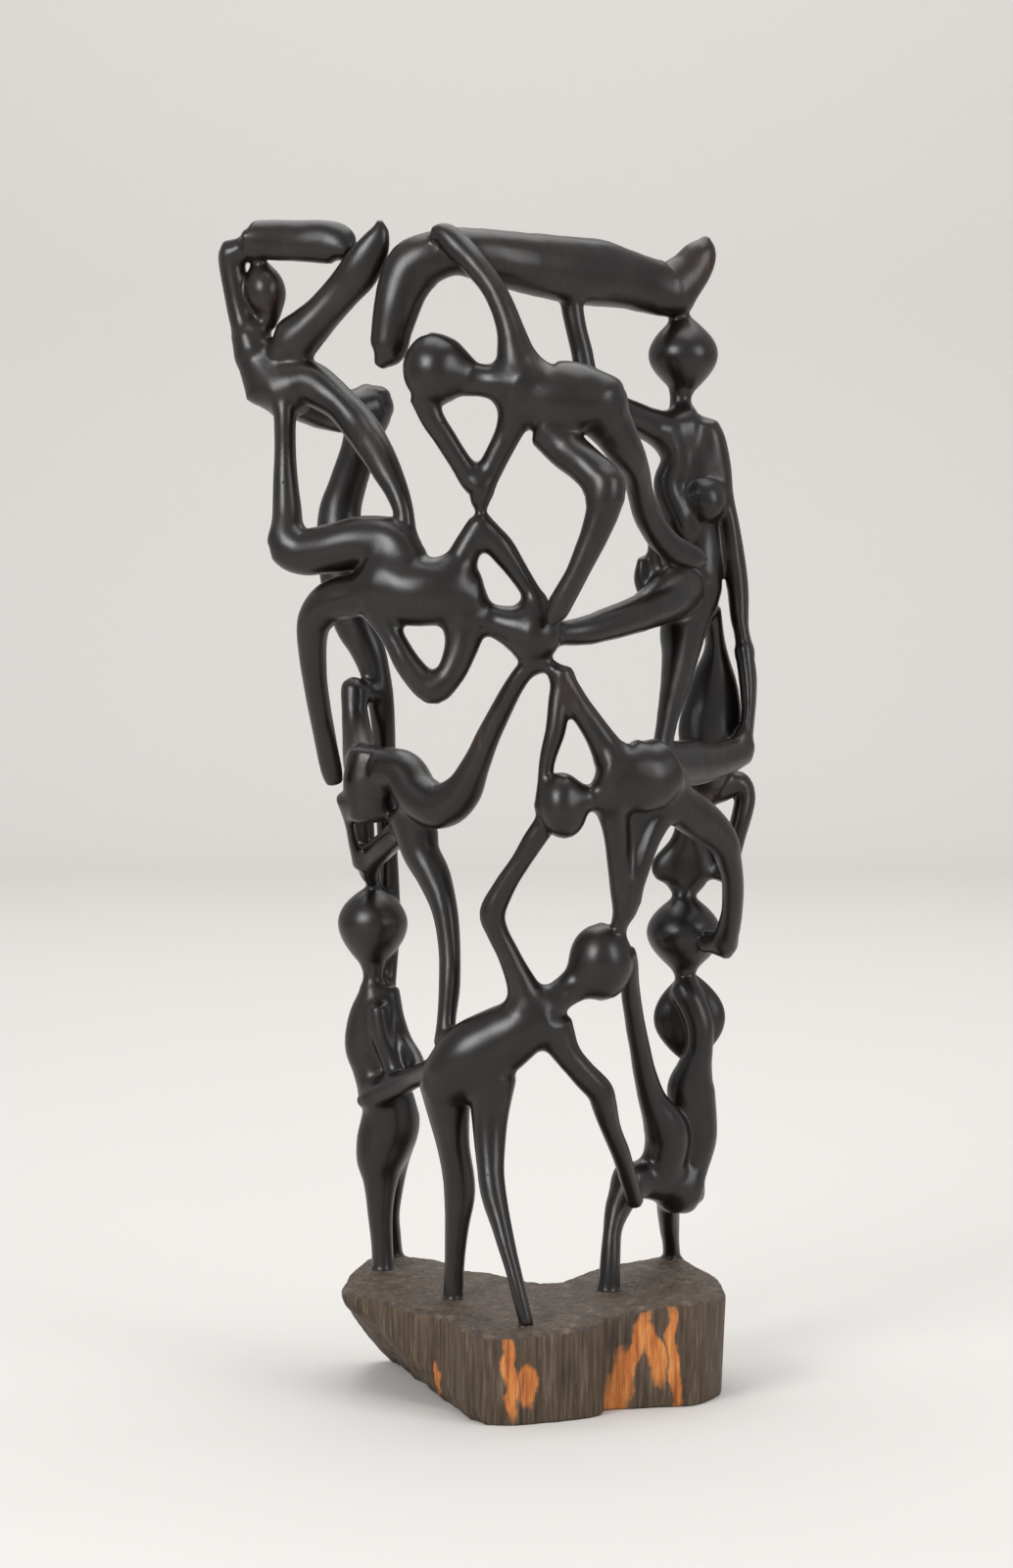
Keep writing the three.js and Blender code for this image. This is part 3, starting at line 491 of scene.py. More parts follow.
@dataclass
class LogBase:
    """The log that the group stands on: a kidney-shaped slice with a notch behind, a front lobe, a rise
    at the right front and a left side hacked away underneath."""

    outline: list[list[float]]
    height: float = 58.8
    slope: float = 0.065
    rise: float = 7.0
    rise_at: tuple[float, float] = (82.0, -52.0)
    rise_reach: tuple[float, float] = (34.0, 22.0)
    right_taper: float = 0.975
    undercut_at: tuple[float, float, float] = (-54.0, -30.0, 0.0)
    undercut_out: tuple[float, float, float] = (-66.0, -19.0, -64.5)
    edge_soft: float = 2.5

    def top(self, x: np.ndarray, y: np.ndarray) -> np.ndarray:
        """Height of the upper face: a gentle slope up to the back, and a rounded rise at the right front."""
        away = ((x - self.rise_at[0]) / self.rise_reach[0]) ** 2 + ((y - self.rise_at[1]) / self.rise_reach[1]) ** 2
        return self.height + self.slope * y + self.rise * np.exp(-away)

    def plan_distance(self, x: np.ndarray, y: np.ndarray) -> np.ndarray:
        """Distance to the smoothed outline seen from above, negative inside: the nearest of its straight
        runs, with the sign from how many times a ray crosses it."""
        closed = np.array(self.outline + self.outline[:2], float)
        ring = through(np.hstack([closed, closed[:, :1] * 0]), 4.0)[:, :2]
        far, crossed = np.full(x.shape, 1e9), np.zeros(x.shape, bool)
        for (ax, ay), (bx, by) in zip(ring, np.vstack([ring[1:], ring[:1]])):
            dx, dy = bx - ax, by - ay
            if dx == dy == 0:
                continue
            t = np.clip(((x - ax) * dx + (y - ay) * dy) / (dx * dx + dy * dy), 0, 1)
            far = np.minimum(far, np.hypot(x - ax - t * dx, y - ay - t * dy))
            if dy:
                crossed ^= ((ay > y) != (by > y)) & (x < ax + (y - ay) * dx / dy)
        return np.where(crossed, -far, far)

    def distance(self, block: WoodBlock) -> np.ndarray:
        """Distance to the log on the whole lattice, its edges rounded a little."""
        x, y, z = block.axes[0][:, None], block.axes[1][None, :], block.axes[2]
        x3, y3, z3 = block.axes[0][:, None, None], block.axes[1][None, :, None], z[None, None, :]
        plan = self.plan_distance(x + 0 * y, y + 0 * x)[:, :, None]
        taper = (1 - self.right_taper) * np.maximum(x3, 0) * (1 - z3 / self.height)
        out = np.array(self.undercut_out) / np.linalg.norm(self.undercut_out)
        hacked = sum(o * (a - p) for o, a, p in zip(out, (x3, y3, z3), self.undercut_at))
        grain = self.split_relief(block)
        side = plan + taper + grain
        hacked = hacked + 2.2 * grain
        top = z3 - self.top(x + 0 * y, y + 0 * x)[:, :, None]
        solid = -melt(-side, -hacked, self.edge_soft * 2)
        solid = -melt(-solid, -top, self.edge_soft)
        return np.maximum(solid, -z3)

    def split_relief(self, block: WoodBlock) -> np.ndarray:
        """Relief of the split side: ripples that run with the upright grain, a few mm apart in plan and
        six times as long upwards, in mm."""
        z = block.axes[2]
        x, y = np.meshgrid(block.axes[0], block.axes[1], indexing="ij")
        flat = np.stack([x.ravel(), y.ravel(), x.ravel() * 0], axis=1)
        coarse = ripple(flat, 34.0, 3).reshape(x.shape)
        fine = ripple(flat, 9.0, 5, 11).reshape(x.shape)
        sway = 0.6 + 0.4 * np.sin(z / 13.0 + 1.0)
        return coarse[:, :, None] * 0.9 + fine[:, :, None] * 0.55 * sway


TOP_LEFT_ACROBAT = Figure(
    "top_left_acrobat",
    limbs={
        "raised_arm": [[-177, 664, 4, 5, 7], [-177, 658, 4, 7.2, 9], [-175.5, 647, 4, 7.4, 9],
            [-172.5, 630, 4, 7.4, 9], [-168.5, 616, 3, 8.3, 10], [-163, 602, 0, 11, 12]],
        "grip": [[-177, 659, 2, 4.6, 6], [-162, 660, -2, 4.6, 6]],
        "board": [[-169, 668.6, -6, 4.5, 8], [-165, 667.8, -6, 10, 8], [-154.5, 667, -6, 11.6, 8],
            [-137, 666.3, -6, 12, 8], [-122, 665.8, -8, 12.6, 8], [-113.4, 664, -10, 11.5, 8],
            [-108, 660, -12, 6.5, 7]],
        "neck": [[-154.5, 624, 0, 4.5, 6], [-162, 607, 0, 5, 6]],
        "torso": [[-167.6, 611, 0, 7, 10], [-162, 598.5, 0, 12, 12], [-152, 585.4, -4, 19, 15],
            [-148.2, 577.4, -6, 17, 15], [-146, 568.3, -8, 8, 12]],
        "raised_leg": [[-149, 601.4, -8, 7, 11], [-140.8, 607.6, -10, 13.7, 13],
            [-131, 616.7, -14, 12.5, 12], [-122.5, 625.3, -18, 11.1, 10], [-111.7, 637.3, -24, 11, 8],
            [-102, 649.2, -30, 12, 7], [-94.6, 661.2, -33, 10, 6], [-90.6, 670.9, -34, 6.3, 5],
            [-90, 677.7, -35, 2, 2]],
        "lowered_leg": [[-146, 578, -8, 15, 15], [-137, 582, -11, 15, 15], [-129.9, 583, -14, 13, 13],
            [-121.4, 578, -18, 11.5, 11], [-111.7, 570, -24, 10, 10], [-101.4, 558, -32, 10.5, 9],
            [-94.6, 547.8, -40, 10.1, 9], [-87.8, 535.8, -48, 9.1, 8], [-80.4, 521, -56, 7.1, 7],
            [-76.4, 509, -60, 6, 7], [-75.2, 496, -62, 6.3, 7]],
    },
    bulbs={
        "head": [[-162, 658.4, 0], [-151.6, 616.2, 0], 12, 14, 0.5, 1],
    },
)
TOP_BAR_ACROBAT = Figure(
    "top_bar_acrobat",
    limbs={
        "bar": [[-90, 594.5, -45, 4, 4], [-85.5, 602.5, -45, 10.5, 9], [-83.2, 615, -45, 12, 10],
            [-80.4, 627, -45, 13.5, 11], [-76.4, 640.1, -45, 15, 11], [-69.5, 651.5, -45, 16.5, 12],
            [-57.6, 657.8, -46, 14.7, 12], [-43.3, 660.1, -44, 14, 12], [-26.2, 657.2, -38, 16, 13],
            [-12, 654.6, -30, 17.1, 14], [5.1, 651.8, -18, 18.5, 14], [22.2, 649.2, -4, 19.5, 14],
            [36.5, 647.8, 10, 19.6, 14], [50.7, 644.7, 24, 17.4, 13], [65, 640.7, 36, 16.2, 12],
            [77.5, 638.4, 44, 16, 12], [82.1, 641.3, 46, 15, 12], [90.1, 649.2, 48, 12.5, 10],
            [95.8, 657.8, 49, 10.3, 8], [98.6, 663.5, 50, 7, 6], [99.8, 667.8, 50, 2.5, 2.5]],
        "head_link": [[83.8, 632, 48, 7, 7], [83.8, 624, 49, 4.9, 5], [84, 617.3, 50, 6, 6]],
    },
)
UPPER_CENTRE_ACROBAT = Figure(
    "upper_centre_acrobat",
    limbs={
        "raised_arm": [[-58.7, 670.9, -56, 4.5, 4], [-51.9, 669.8, -58, 7, 6], [-43.3, 661.8, -62, 8, 7],
            [-35.3, 653.2, -66, 7.6, 8], [-26.2, 641.8, -70, 7.1, 8], [-19.4, 629.3, -73, 7.2, 8],
            [-14.2, 614.5, -75, 8.2, 9], [-11.4, 601.4, -77, 11, 11], [-8, 587, -78, 16, 14]],
        "neck": [[-51.9, 592.8, -75, 15.4, 14], [-38.7, 586.8, -76, 11.1, 9], [-31.3, 585.4, -77, 9.7, 8],
            [-23.3, 584.3, -78, 11, 9], [-12, 581.4, -78, 16, 14]],
        "outer_arm": [[-65, 575.7, -74, 8, 8], [-58.7, 561.5, -74, 7, 7], [-51.9, 551.2, -74, 6.5, 7],
            [-43.9, 538.7, -74, 6.5, 7], [-37.6, 529, -74, 7, 7], [-31.9, 522.7, -74, 7, 7],
            [-31.9, 514.7, -74, 3.5, 4]],
        "inner_arm": [[-9.1, 570, -78, 12, 12], [-14.8, 555.8, -76, 8.3, 8], [-21, 543.2, -75, 7.4, 7],
            [-26.8, 531.8, -74, 7.4, 7], [-31.9, 522.7, -74, 7, 7]],
        "elbow_link": [[-31.9, 516, -74, 4.2, 4.5], [-31.6, 510.8, -73, 3.1, 3.5],
            [-31.3, 506.8, -73, 3.4, 4], [-31.3, 500, -72, 5, 5]],
        "torso": [[-6.3, 584.3, -78, 15, 14], [5.7, 576.8, -78, 20, 17], [21.1, 574.6, -78, 21.7, 18],
            [33.7, 571.7, -77, 19.5, 17], [42.2, 566, -75, 15, 13]],
        "front_thigh": [[8, 555.8, -80, 12, 12], [18.3, 545.5, -84, 12, 11], [29.7, 535.8, -92, 11.4, 11],
            [40.5, 525, -97, 11.4, 11], [42, 517, -98, 8, 9]],
        "front_shin": [[41.5, 526, -97, 9, 10], [40.5, 517, -98, 11, 11], [39.4, 509, -98, 9.8, 10],
            [34.8, 495.9, -98, 8.4, 8.5], [29.7, 484.5, -97, 7.5, 8], [24.5, 473.1, -96, 6.8, 7.5],
            [18.3, 461.7, -94, 7, 7.5], [12.6, 450.9, -92, 6.8, 6.5], [9.7, 444, -91, 3.5, 3]],
        "back_leg": [[35.4, 575.7, -76, 16, 16], [43.3, 560.3, -72, 13.5, 13], [51.9, 545.5, -64, 11.1, 11],
            [58.2, 533, -52, 8.7, 9], [61, 521.6, -42, 7.7, 8], [64.4, 509, -32, 8, 8],
            [70.7, 497.6, -22, 8.4, 8], [78.7, 488.5, -14, 8.3, 8], [87.8, 483.9, -8, 7.7, 7],
            [95.2, 481.7, -4, 5.7, 5], [99.8, 481, -3, 1.8, 1.8]],
    },
    bulbs={
        "head": [[-59.8, 612.8, -74], [-55.8, 570.6, -74], 19, 19, 0.5, 0],
    },
)
MIDDLE_LEFT_ACROBAT = Figure(
    "middle_left_acrobat",
    limbs={
        "neck": [[-12, 441.8, -70, 12.5, 14], [-27.3, 446.9, -70, 9.3, 9], [-38.7, 453.2, -70, 14, 12]],
        "head_arm": [[-31.3, 502.2, -72, 6.5, 7], [-26.2, 494.8, -72, 8, 8], [-19.4, 487.4, -72, 8, 8],
            [-12, 477.1, -71, 6.6, 7], [-4.5, 465.7, -70, 5.7, 7], [0, 457.7, -70, 6, 8]],
        "shoulder_arm": [[-32.5, 501, -72, 6.5, 7], [-37.6, 491.3, -72, 8, 8], [-42.7, 480.5, -71, 9.7, 10],
            [-49, 467.4, -70, 13.5, 13]],
        "torso": [[-36.5, 461.1, -70, 13, 12], [-47.9, 462.8, -71, 18.5, 16], [-60.4, 462.3, -72, 20, 17],
            [-72.9, 463.4, -70, 20.5, 17], [-84.3, 469.1, -66, 20, 16], [-91.8, 473, -62, 16, 14]],
        "kneeling_thigh": [[-72, 480, -68, 11, 11], [-83.2, 489.6, -62, 15, 13],
            [-100.3, 491.3, -54, 15.1, 13], [-117.4, 487.9, -48, 14.2, 13], [-133.4, 485.5, -42, 13.6, 12],
            [-143, 488.5, -38, 12.4, 11], [-150, 494, -36, 6, 7]],
        "raised_shin": [[-144.2, 484, -38, 6, 7], [-144.2, 493, -38, 9.4, 10], [-144.2, 507.3, -34, 8.6, 9],
            [-144.8, 521.6, -31, 7.7, 8], [-145.3, 541.5, -26, 6.4, 8], [-145.3, 557.5, -20, 6.3, 8],
            [-145.3, 570, -16, 6.8, 8]],
        "lowered_leg": [[-87.8, 464.6, -64, 14, 14], [-104.9, 460, -56, 12.5, 13], [-118, 457, -50, 12, 12],
            [-126, 449, -44, 11, 11], [-129.4, 438.9, -40, 9.3, 9], [-128.8, 419, -32, 7.7, 8],
            [-126, 397.9, -22, 6.8, 7], [-122.5, 379.1, -12, 6.5, 6.5], [-118.5, 359.1, -4, 6.2, 6],
            [-116.8, 351.7, -2, 5, 4]],
        "flank_elbow": [[-91.2, 452, -66, 9, 10], [-83.2, 437.2, -70, 6.8, 8], [-75.2, 422.4, -73, 7.4, 8],
            [-66.1, 410.4, -74, 8.3, 8], [-59.3, 405.3, -74, 8, 8]],
        "chest_elbow": [[-40.5, 444.6, -71, 13, 11], [-42.7, 430.4, -73, 10, 9],
            [-47.9, 416.7, -74, 8.6, 8], [-55.9, 405.3, -74, 7.7, 8], [-59, 400.7, -74, 5, 6]],
    },
    bulbs={
        "head": [[1.2, 462.8, -70], [-2.3, 418.4, -70], 16.5, 17, 0.55, 0.35],
    },
)
LEFT_COLUMN_ACROBAT = Figure(
    "left_column_acrobat",
    limbs={
        "raised_leg": [[-86, 359, 0, 13, 14], [-75.8, 356.3, -8, 13, 14], [-67.8, 344.3, -18, 13.2, 14],
            [-54.7, 337.7, -30, 13.4, 13], [-42.2, 346, -40, 11.3, 11], [-34.2, 362, -50, 8.3, 9],
            [-26.8, 379.1, -57, 7, 8], [-18.8, 395, -62, 6.3, 7], [-9.7, 411, -68, 5.7, 6],
            [-2.8, 419.5, -70, 6, 6]],
        "torso": [[-96.9, 368, 8, 12, 12], [-96.9, 360, 8, 14, 13], [-96.3, 350.6, 8, 15.5, 14],
            [-94, 333.5, 8, 14.5, 13]],
        "brace_arm": [[-75.2, 324.9, 2, 6.5, 9], [-84.9, 316.9, 16, 7.5, 9], [-93.5, 308.9, 32, 7.5, 8],
            [-96.3, 301, 44, 6.3, 7], [-94.6, 294.7, 52, 4.4, 5], [-93.5, 289, 55, 4.2, 5]],
        "hip_web": [[-103, 334, 44, 9, 5], [-100, 318, 44, 7, 5], [-97, 306, 44, 4, 5]],
        "outer_strip": [[-110.6, 342, 12, 5, 7], [-107.7, 327.8, 20, 3, 5], [-105.4, 315.2, 28, 2.8, 5],
            [-102, 305, 36, 4, 5]],
        "lowered_leg": [[-73, 334, -6, 12, 12], [-69, 323.2, -8, 12.5, 12], [-66.1, 310.7, -10, 11, 11],
            [-58.4, 295.8, -16, 9.7, 10], [-52.4, 277, -22, 7.6, 9], [-49.6, 253.1, -28, 6.4, 8],
            [-49.6, 234.3, -32, 6.3, 8], [-51.3, 213.8, -36, 5.6, 7], [-52.4, 200, -40, 6.5, 7]],
    },
)
BACK_LEFT_ACROBAT = Figure(
    "back_left_acrobat",
    limbs={
        "thigh": [[-140, 574, 8, 11, 11], [-123, 568.3, 24, 11.4, 12], [-107.7, 567.2, 38, 12.5, 12],
            [-94.6, 570, 48, 12, 12], [-88, 573, 50, 7, 7]],
        "column": [[-93, 578, 48, 8, 9], [-94.6, 571.1, 48, 11.5, 12], [-98, 560.3, 50, 12, 11],
            [-102.6, 544.4, 56, 10.5, 9], [-108.9, 524.4, 60, 11, 9], [-113.4, 508.4, 62, 12.3, 10],
            [-113.4, 487.4, 60, 13.5, 11], [-110.6, 464.6, 58, 13, 11], [-104.9, 444.6, 54, 12, 10],
            [-98, 430.4, 52, 10.3, 9], [-92.3, 413.3, 52, 8.5, 8], [-88.9, 392.7, 54, 7.4, 7],
            [-87.8, 373.4, 58, 6.8, 7], [-87.2, 350.6, 62, 6.5, 6], [-85.5, 311.8, 64, 5.7, 6],
            [-84.3, 276.5, 66, 6, 5], [-85.5, 242.3, 64, 5.5, 5], [-88, 226, 58, 6, 6]],
        "sole": [[-104.9, 411, 40, 3.5, 4], [-105.4, 406.4, 40, 7, 7], [-104.9, 392.7, 38, 7.7, 8],
            [-103.7, 381.9, 33, 8.5, 8], [-102.6, 371, 25, 9.5, 9], [-101.5, 362, 16, 10, 10]],
        "sole_top": [[-105, 403, 40, 5, 6], [-95, 405, 50, 5, 6]],
        "waist_tie": [[-94, 356, 12, 9, 9], [-89, 352, 60, 8, 7]],
    },
)
LOWER_LEFT_ACROBAT = Figure(
    "lower_left_acrobat",
    limbs={
        "neck": [[-94, 245, 55, 6.2, 6.5], [-94, 232, 55, 6, 6.5], [-93, 225, 55, 9, 9]],
        "torso": [[-92.3, 229.7, 55, 9, 9], [-93.5, 219.5, 55, 13, 12], [-95.7, 208.1, 55, 14, 13],
            [-97, 196.7, 55, 13.5, 12], [-94.6, 185.3, 54, 11.5, 12], [-91, 174, 52, 12, 12]],
        "outer_arm": [[-84.3, 229.7, 54, 5.5, 7], [-81.5, 216.6, 50, 5, 7], [-76.9, 202.4, 44, 5, 7],
            [-70.7, 191, 34, 5.3, 7], [-67.2, 182.4, 22, 5, 6]],
        "inner_arm": [[-91.2, 219.5, 42, 5.5, 6], [-88.9, 205.2, 40, 6, 6], [-83.8, 191, 38, 6.2, 6],
            [-79.2, 179.6, 36, 6.5, 7]],
        "forearm": [[-52, 186, -28, 9, 10], [-67.8, 180.7, 5, 6.5, 7.5], [-78.6, 175.6, 22, 7, 8],
            [-88.9, 171, 34, 6.8, 8], [-96.9, 167.6, 40, 5.4, 7], [-101.4, 165.9, 42, 3, 4]],
        "front_leg": [[-86, 176, 48, 12, 12], [-84.3, 165.3, 48, 15, 14], [-84.3, 154, 50, 17, 15],
            [-87.8, 142.5, 50, 16, 14], [-90, 131.1, 49, 13.8, 13], [-90, 119.7, 48, 10.3, 10],
            [-90, 102.6, 46, 7.4, 8], [-88.9, 79.8, 45, 6.3, 7], [-88, 56, 44, 6.6, 8]],
        "back_leg": [[-82, 156, 54, 12, 11], [-82, 142.5, 58, 12, 11], [-82, 125.4, 64, 7.5, 8],
            [-83.2, 102.6, 72, 4.8, 6], [-82, 87.2, 77, 4.3, 6], [-80.4, 66, 80, 5, 6]],
    },
    bulbs={
        "head": [[-93.5, 291.8, 55], [-95.2, 241.1, 55], 20.3, 20, 0.44, 0.75],
    },
)
CENTRE_ACROBAT = Figure(
    "centre_acrobat",
    limbs={
        "head_link": [[-0.6, 421.2, -70, 7, 8], [8.6, 419, -71, 4.6, 6], [15, 414, -72, 4.6, 6]],
        "thin_arm": [[15, 413, -72, 5, 6], [13.7, 399, -74, 5.8, 7], [12, 382, -76, 6, 7],
            [7.4, 364.8, -76, 4.8, 6], [5.7, 350.6, -76, 4.3, 6], [6.3, 339.2, -74, 6, 7]],
        "wide_arm": [[16.6, 414.4, -72, 4.6, 6], [21.7, 404.1, -73, 6, 7], [27.4, 393.3, -74, 7, 8],
            [36, 380.8, -74, 8, 9], [43.3, 367.7, -73, 10, 11]],
        "neck": [[25.1, 342, -77, 9, 10], [34.2, 342.6, -75, 7.7, 9], [45.1, 344.9, -73, 13, 13]],
        "torso": [[43.3, 359.1, -73, 15, 14], [53.6, 355.4, -72, 20.5, 16], [65, 355.7, -68, 21, 17],
            [74.1, 360.2, -62, 18, 16]],
        "support_arm": [[43.3, 342, -70, 10.5, 11], [46.8, 324.9, -66, 7.7, 8.5],
            [48.5, 305, -62, 6.6, 7.5], [51.3, 290.7, -58, 8, 8], [52.5, 279.3, -55, 7.6, 7.5],
            [49.6, 269.6, -52, 5.2, 6], [47.3, 262, -50, 5.5, 6]],
        "arm_web": [[60, 340, -58, 10, 5], [57, 322, -57, 6, 5], [55, 306, -57, 3, 4]],
        "sole": [[79.8, 345, -52, 6, 8], [74.1, 331.7, -54, 6.3, 8], [68.4, 320.3, -56, 5.7, 7.5],
            [63.9, 307.8, -57, 5.2, 7], [59.9, 294.7, -57, 4.8, 6.5], [56.5, 285, -56, 4.5, 6]],
        "curved_leg": [[76, 352, -54, 12, 13], [82.1, 342, -50, 11.5, 13], [89.5, 334.6, -44, 12.5, 12],
            [100.3, 326.6, -36, 11.5, 11], [109.5, 316.4, -28, 9.2, 9.5], [113.4, 303.8, -20, 7, 8],
            [115.2, 290.7, -12, 6.4, 7.5], [114.6, 276.5, -4, 6.2, 7], [112.3, 263.9, 6, 6.8, 7],
            [111.2, 255.9, 12, 5.7, 6], [111.7, 250.8, 14, 2.3, 3]],
        "toe_link": [[110.6, 258.2, 10, 6.5, 6.5], [100.3, 258.2, 22, 6.3, 6.5]],
    },
    bulbs={
        "head": [[14.8, 357.4, -78], [17.7, 318.6, -78], 14.3, 15, 0.5, 0],
    },
)
UPPER_RIGHT_ACROBAT = Figure(
    "upper_right_acrobat",
    limbs={
        "neck": [[84.7, 578.6, 48, 6, 6.5], [84.7, 566.1, 47, 6.2, 7], [86, 560, 46, 9, 9]],
        "torso": [[89, 565, 45, 5, 6], [91, 556, 45, 13.5, 11], [92.9, 538.7, 45, 17.7, 13],
            [93.5, 526.1, 45, 18, 12], [94, 514, 45, 15, 11], [94.6, 502.7, 44, 12, 10],
            [95.8, 487.4, 44, 12.5, 10], [94.6, 470.3, 42, 14, 12], [91.2, 456, 40, 14, 12]],
        "left_side": [[74, 556, 32, 9, 10], [81, 540, 36, 8, 10], [77.5, 525.5, 36, 8.5, 9],
            [80, 512, 36, 8, 9], [86, 498, 38, 8, 8]],
        "across_arm": [[86.1, 555.8, 42, 14, 12], [74.1, 557.5, 36, 10.3, 11], [62.2, 561.5, 24, 9.7, 10],
            [49, 568.3, 8, 8.6, 9], [36.5, 577.4, -4, 7.4, 8], [30.2, 587.1, -8, 6.8, 7],
            [27.4, 601.4, -7, 6.3, 7], [24, 615.6, -6, 6.2, 7], [21.7, 628.7, -5, 6.5, 7],
            [21.7, 638, -4, 7, 7]],
        "long_arm": [[101, 558, 44, 6, 8], [103.8, 550, 44, 7, 9], [107.8, 533, 46, 6, 8],
            [110.6, 515.9, 46, 5.4, 8], [114, 498.8, 46, 5.4, 8], [115.7, 484.5, 46, 6.1, 8],
            [118, 464.6, 46, 6.3, 8], [119.1, 447.5, 45, 5.4, 8], [120.3, 438.9, 44, 4.6, 8],
            [122.6, 426, 43, 5.1, 8]],
        "cross_thigh": [[13.7, 437.8, -66, 7, 7], [30.8, 440, -54, 8.6, 8], [47.9, 445.2, -36, 10, 10],
            [62.2, 450.3, -18, 11, 11], [75.3, 457.7, 4, 13.5, 13], [85, 464.6, 25, 14, 14]],
        "standing_leg": [[91.2, 464.6, 40, 15.5, 14], [88.9, 450.3, 34, 14.8, 13],
            [86.1, 438.9, 24, 13.5, 12], [84.4, 424.1, 10, 10.7, 10], [81.5, 408.1, -6, 8.5, 8],
            [77, 387.6, -24, 6.3, 6], [74.1, 372, -36, 5.5, 6]],
        "thigh_knob": [[62.5, 481, 20, 3, 4], [63, 470, 22, 5.5, 6], [67, 460, 24, 6.5, 7]],
        "flank_strip": [[69.5, 496, 20, 4, 6], [72, 478, 22, 5.5, 7], [77, 466, 24, 8, 8]],
    },
    bulbs={
        "head": [[86.1, 625.3, 48], [86.7, 574, 48], 20.3, 20, 0.49, 1],
        "belly": [[98.6, 528.4, 36], [98.6, 502.2, 36], 12, 10, 0.5, 0],
        "flank": [[79.8, 525, 36], [87.8, 489.6, 36], 8, 9, 0.5, 0.4],
    },
)
RIGHT_COLUMN_ACROBAT = Figure(
    "right_column_acrobat",
    limbs={
        "thigh": [[68, 360, -44, 14, 14], [76.4, 362, -30, 13, 14], [87.8, 362.5, -12, 13.7, 14],
            [102, 363.7, 8, 11.4, 13], [115.2, 367.7, 24, 9.4, 11], [120.3, 372.2, 30, 7, 9]],
        "shin": [[120.3, 366, 28, 5, 7], [120.9, 373.4, 32, 5.5, 9], [123.7, 387.6, 36, 4, 10],
            [124.3, 401.9, 38, 4.8, 10], [123.7, 414.4, 40, 5.4, 9], [121.4, 429, 42, 5.1, 8]],
        "back": [[103.2, 452, 46, 5, 8], [104.9, 430.4, 50, 6.3, 9], [104.3, 413.3, 52, 12.5, 10],
            [103.2, 396.2, 52, 16.5, 10], [101.5, 381.9, 50, 18, 11], [101, 368, 44, 16, 11],
            [98, 352, 30, 12, 10]],
        "back_elbow": [[96.4, 343.7, 44, 8, 9], [107.8, 347.7, 48, 8, 9], [118, 350.6, 50, 7.5, 9],
            [122, 343.7, 50, 6.3, 8], [120.3, 332.3, 48, 6, 8], [116.9, 319.2, 46, 5.5, 7],
            [113.4, 305, 44, 5, 7], [108, 296, 42, 4.5, 6]],
        "fan": [[97, 350, 42, 9, 9], [92, 334, 40, 9, 8], [90, 320, 40, 10, 8], [88.9, 309.5, 42, 16, 8],
            [87.2, 299.3, 42, 19.5, 8], [87.2, 292.4, 42, 12, 8], [86.7, 285, 40, 6.6, 6.6],
            [86.7, 277, 40, 8.5, 8.5]],
    },
)
LOWER_RIGHT_ACROBAT = Figure(
    "lower_right_acrobat",
    limbs={
        "neck": [[87.2, 243.4, 40, 5.8, 6], [87.2, 234.9, 40, 5.7, 6], [88, 228, 40, 8, 8]],
        "spine": [[86.7, 232, 38, 7.5, 8], [91.2, 224, 34, 8.5, 8.5], [95.8, 210.9, 32, 8.2, 8.5],
            [95.8, 196.7, 32, 7.7, 8.5], [92.9, 185.3, 34, 10.5, 10.5], [90.7, 172.7, 36, 14, 12],
            [93.5, 156.8, 38, 12.5, 12], [94.6, 142.5, 38, 11, 12], [91.8, 126, 36, 8.5, 10],
            [88, 115, 36, 9, 11]],
        "thigh": [[53.6, 119.7, 10, 10, 10], [63.9, 120.8, 20, 11.4, 12], [75.2, 119.7, 30, 13.5, 14],
            [84.4, 115.1, 36, 15.5, 15], [89.5, 111.7, 40, 11.5, 12], [94, 111.2, 42, 5, 6]],
        "long_limb": [[53, 252, -36, 6, 6], [55.3, 245.1, -30, 5, 6], [55.3, 233.7, -22, 5.5, 6.5],
            [56.5, 222.3, -16, 5.7, 6.5], [59.9, 202.4, -6, 5.9, 6.5], [63.9, 182.4, 4, 6.7, 7.5],
            [68.4, 167, 12, 8.3, 9], [74.7, 153.9, 18, 12, 12], [77, 143.6, 22, 13, 13],
            [74.1, 128, 24, 12, 12]],
        "front_shin": [[56, 122, 12, 9, 9], [53.6, 115.7, 10, 9.5, 10], [48.5, 104.3, 4, 7.7, 8.5],
            [45.1, 91.2, -2, 5.6, 7], [44.2, 77, -6, 5.8, 6.5], [43.3, 62.7, -8, 6.3, 7],
            [42.2, 50, -8, 7.2, 8]],
        "back_leg": [[78, 118, 42, 8, 9], [77.5, 108.3, 50, 7, 8], [78.1, 94.1, 64, 6, 7],
            [79.3, 82.7, 72, 5, 6], [79.8, 66, 77, 5.6, 6.5]],
    },
    bulbs={
        "head": [[86.7, 287.9, 40], [86.7, 237.7, 40], 21.7, 21, 0.47, 0.9],
        "back": [[90, 241.1, 46], [90, 188.1, 46], 21, 10, 0.5, 0.6],
    },
)
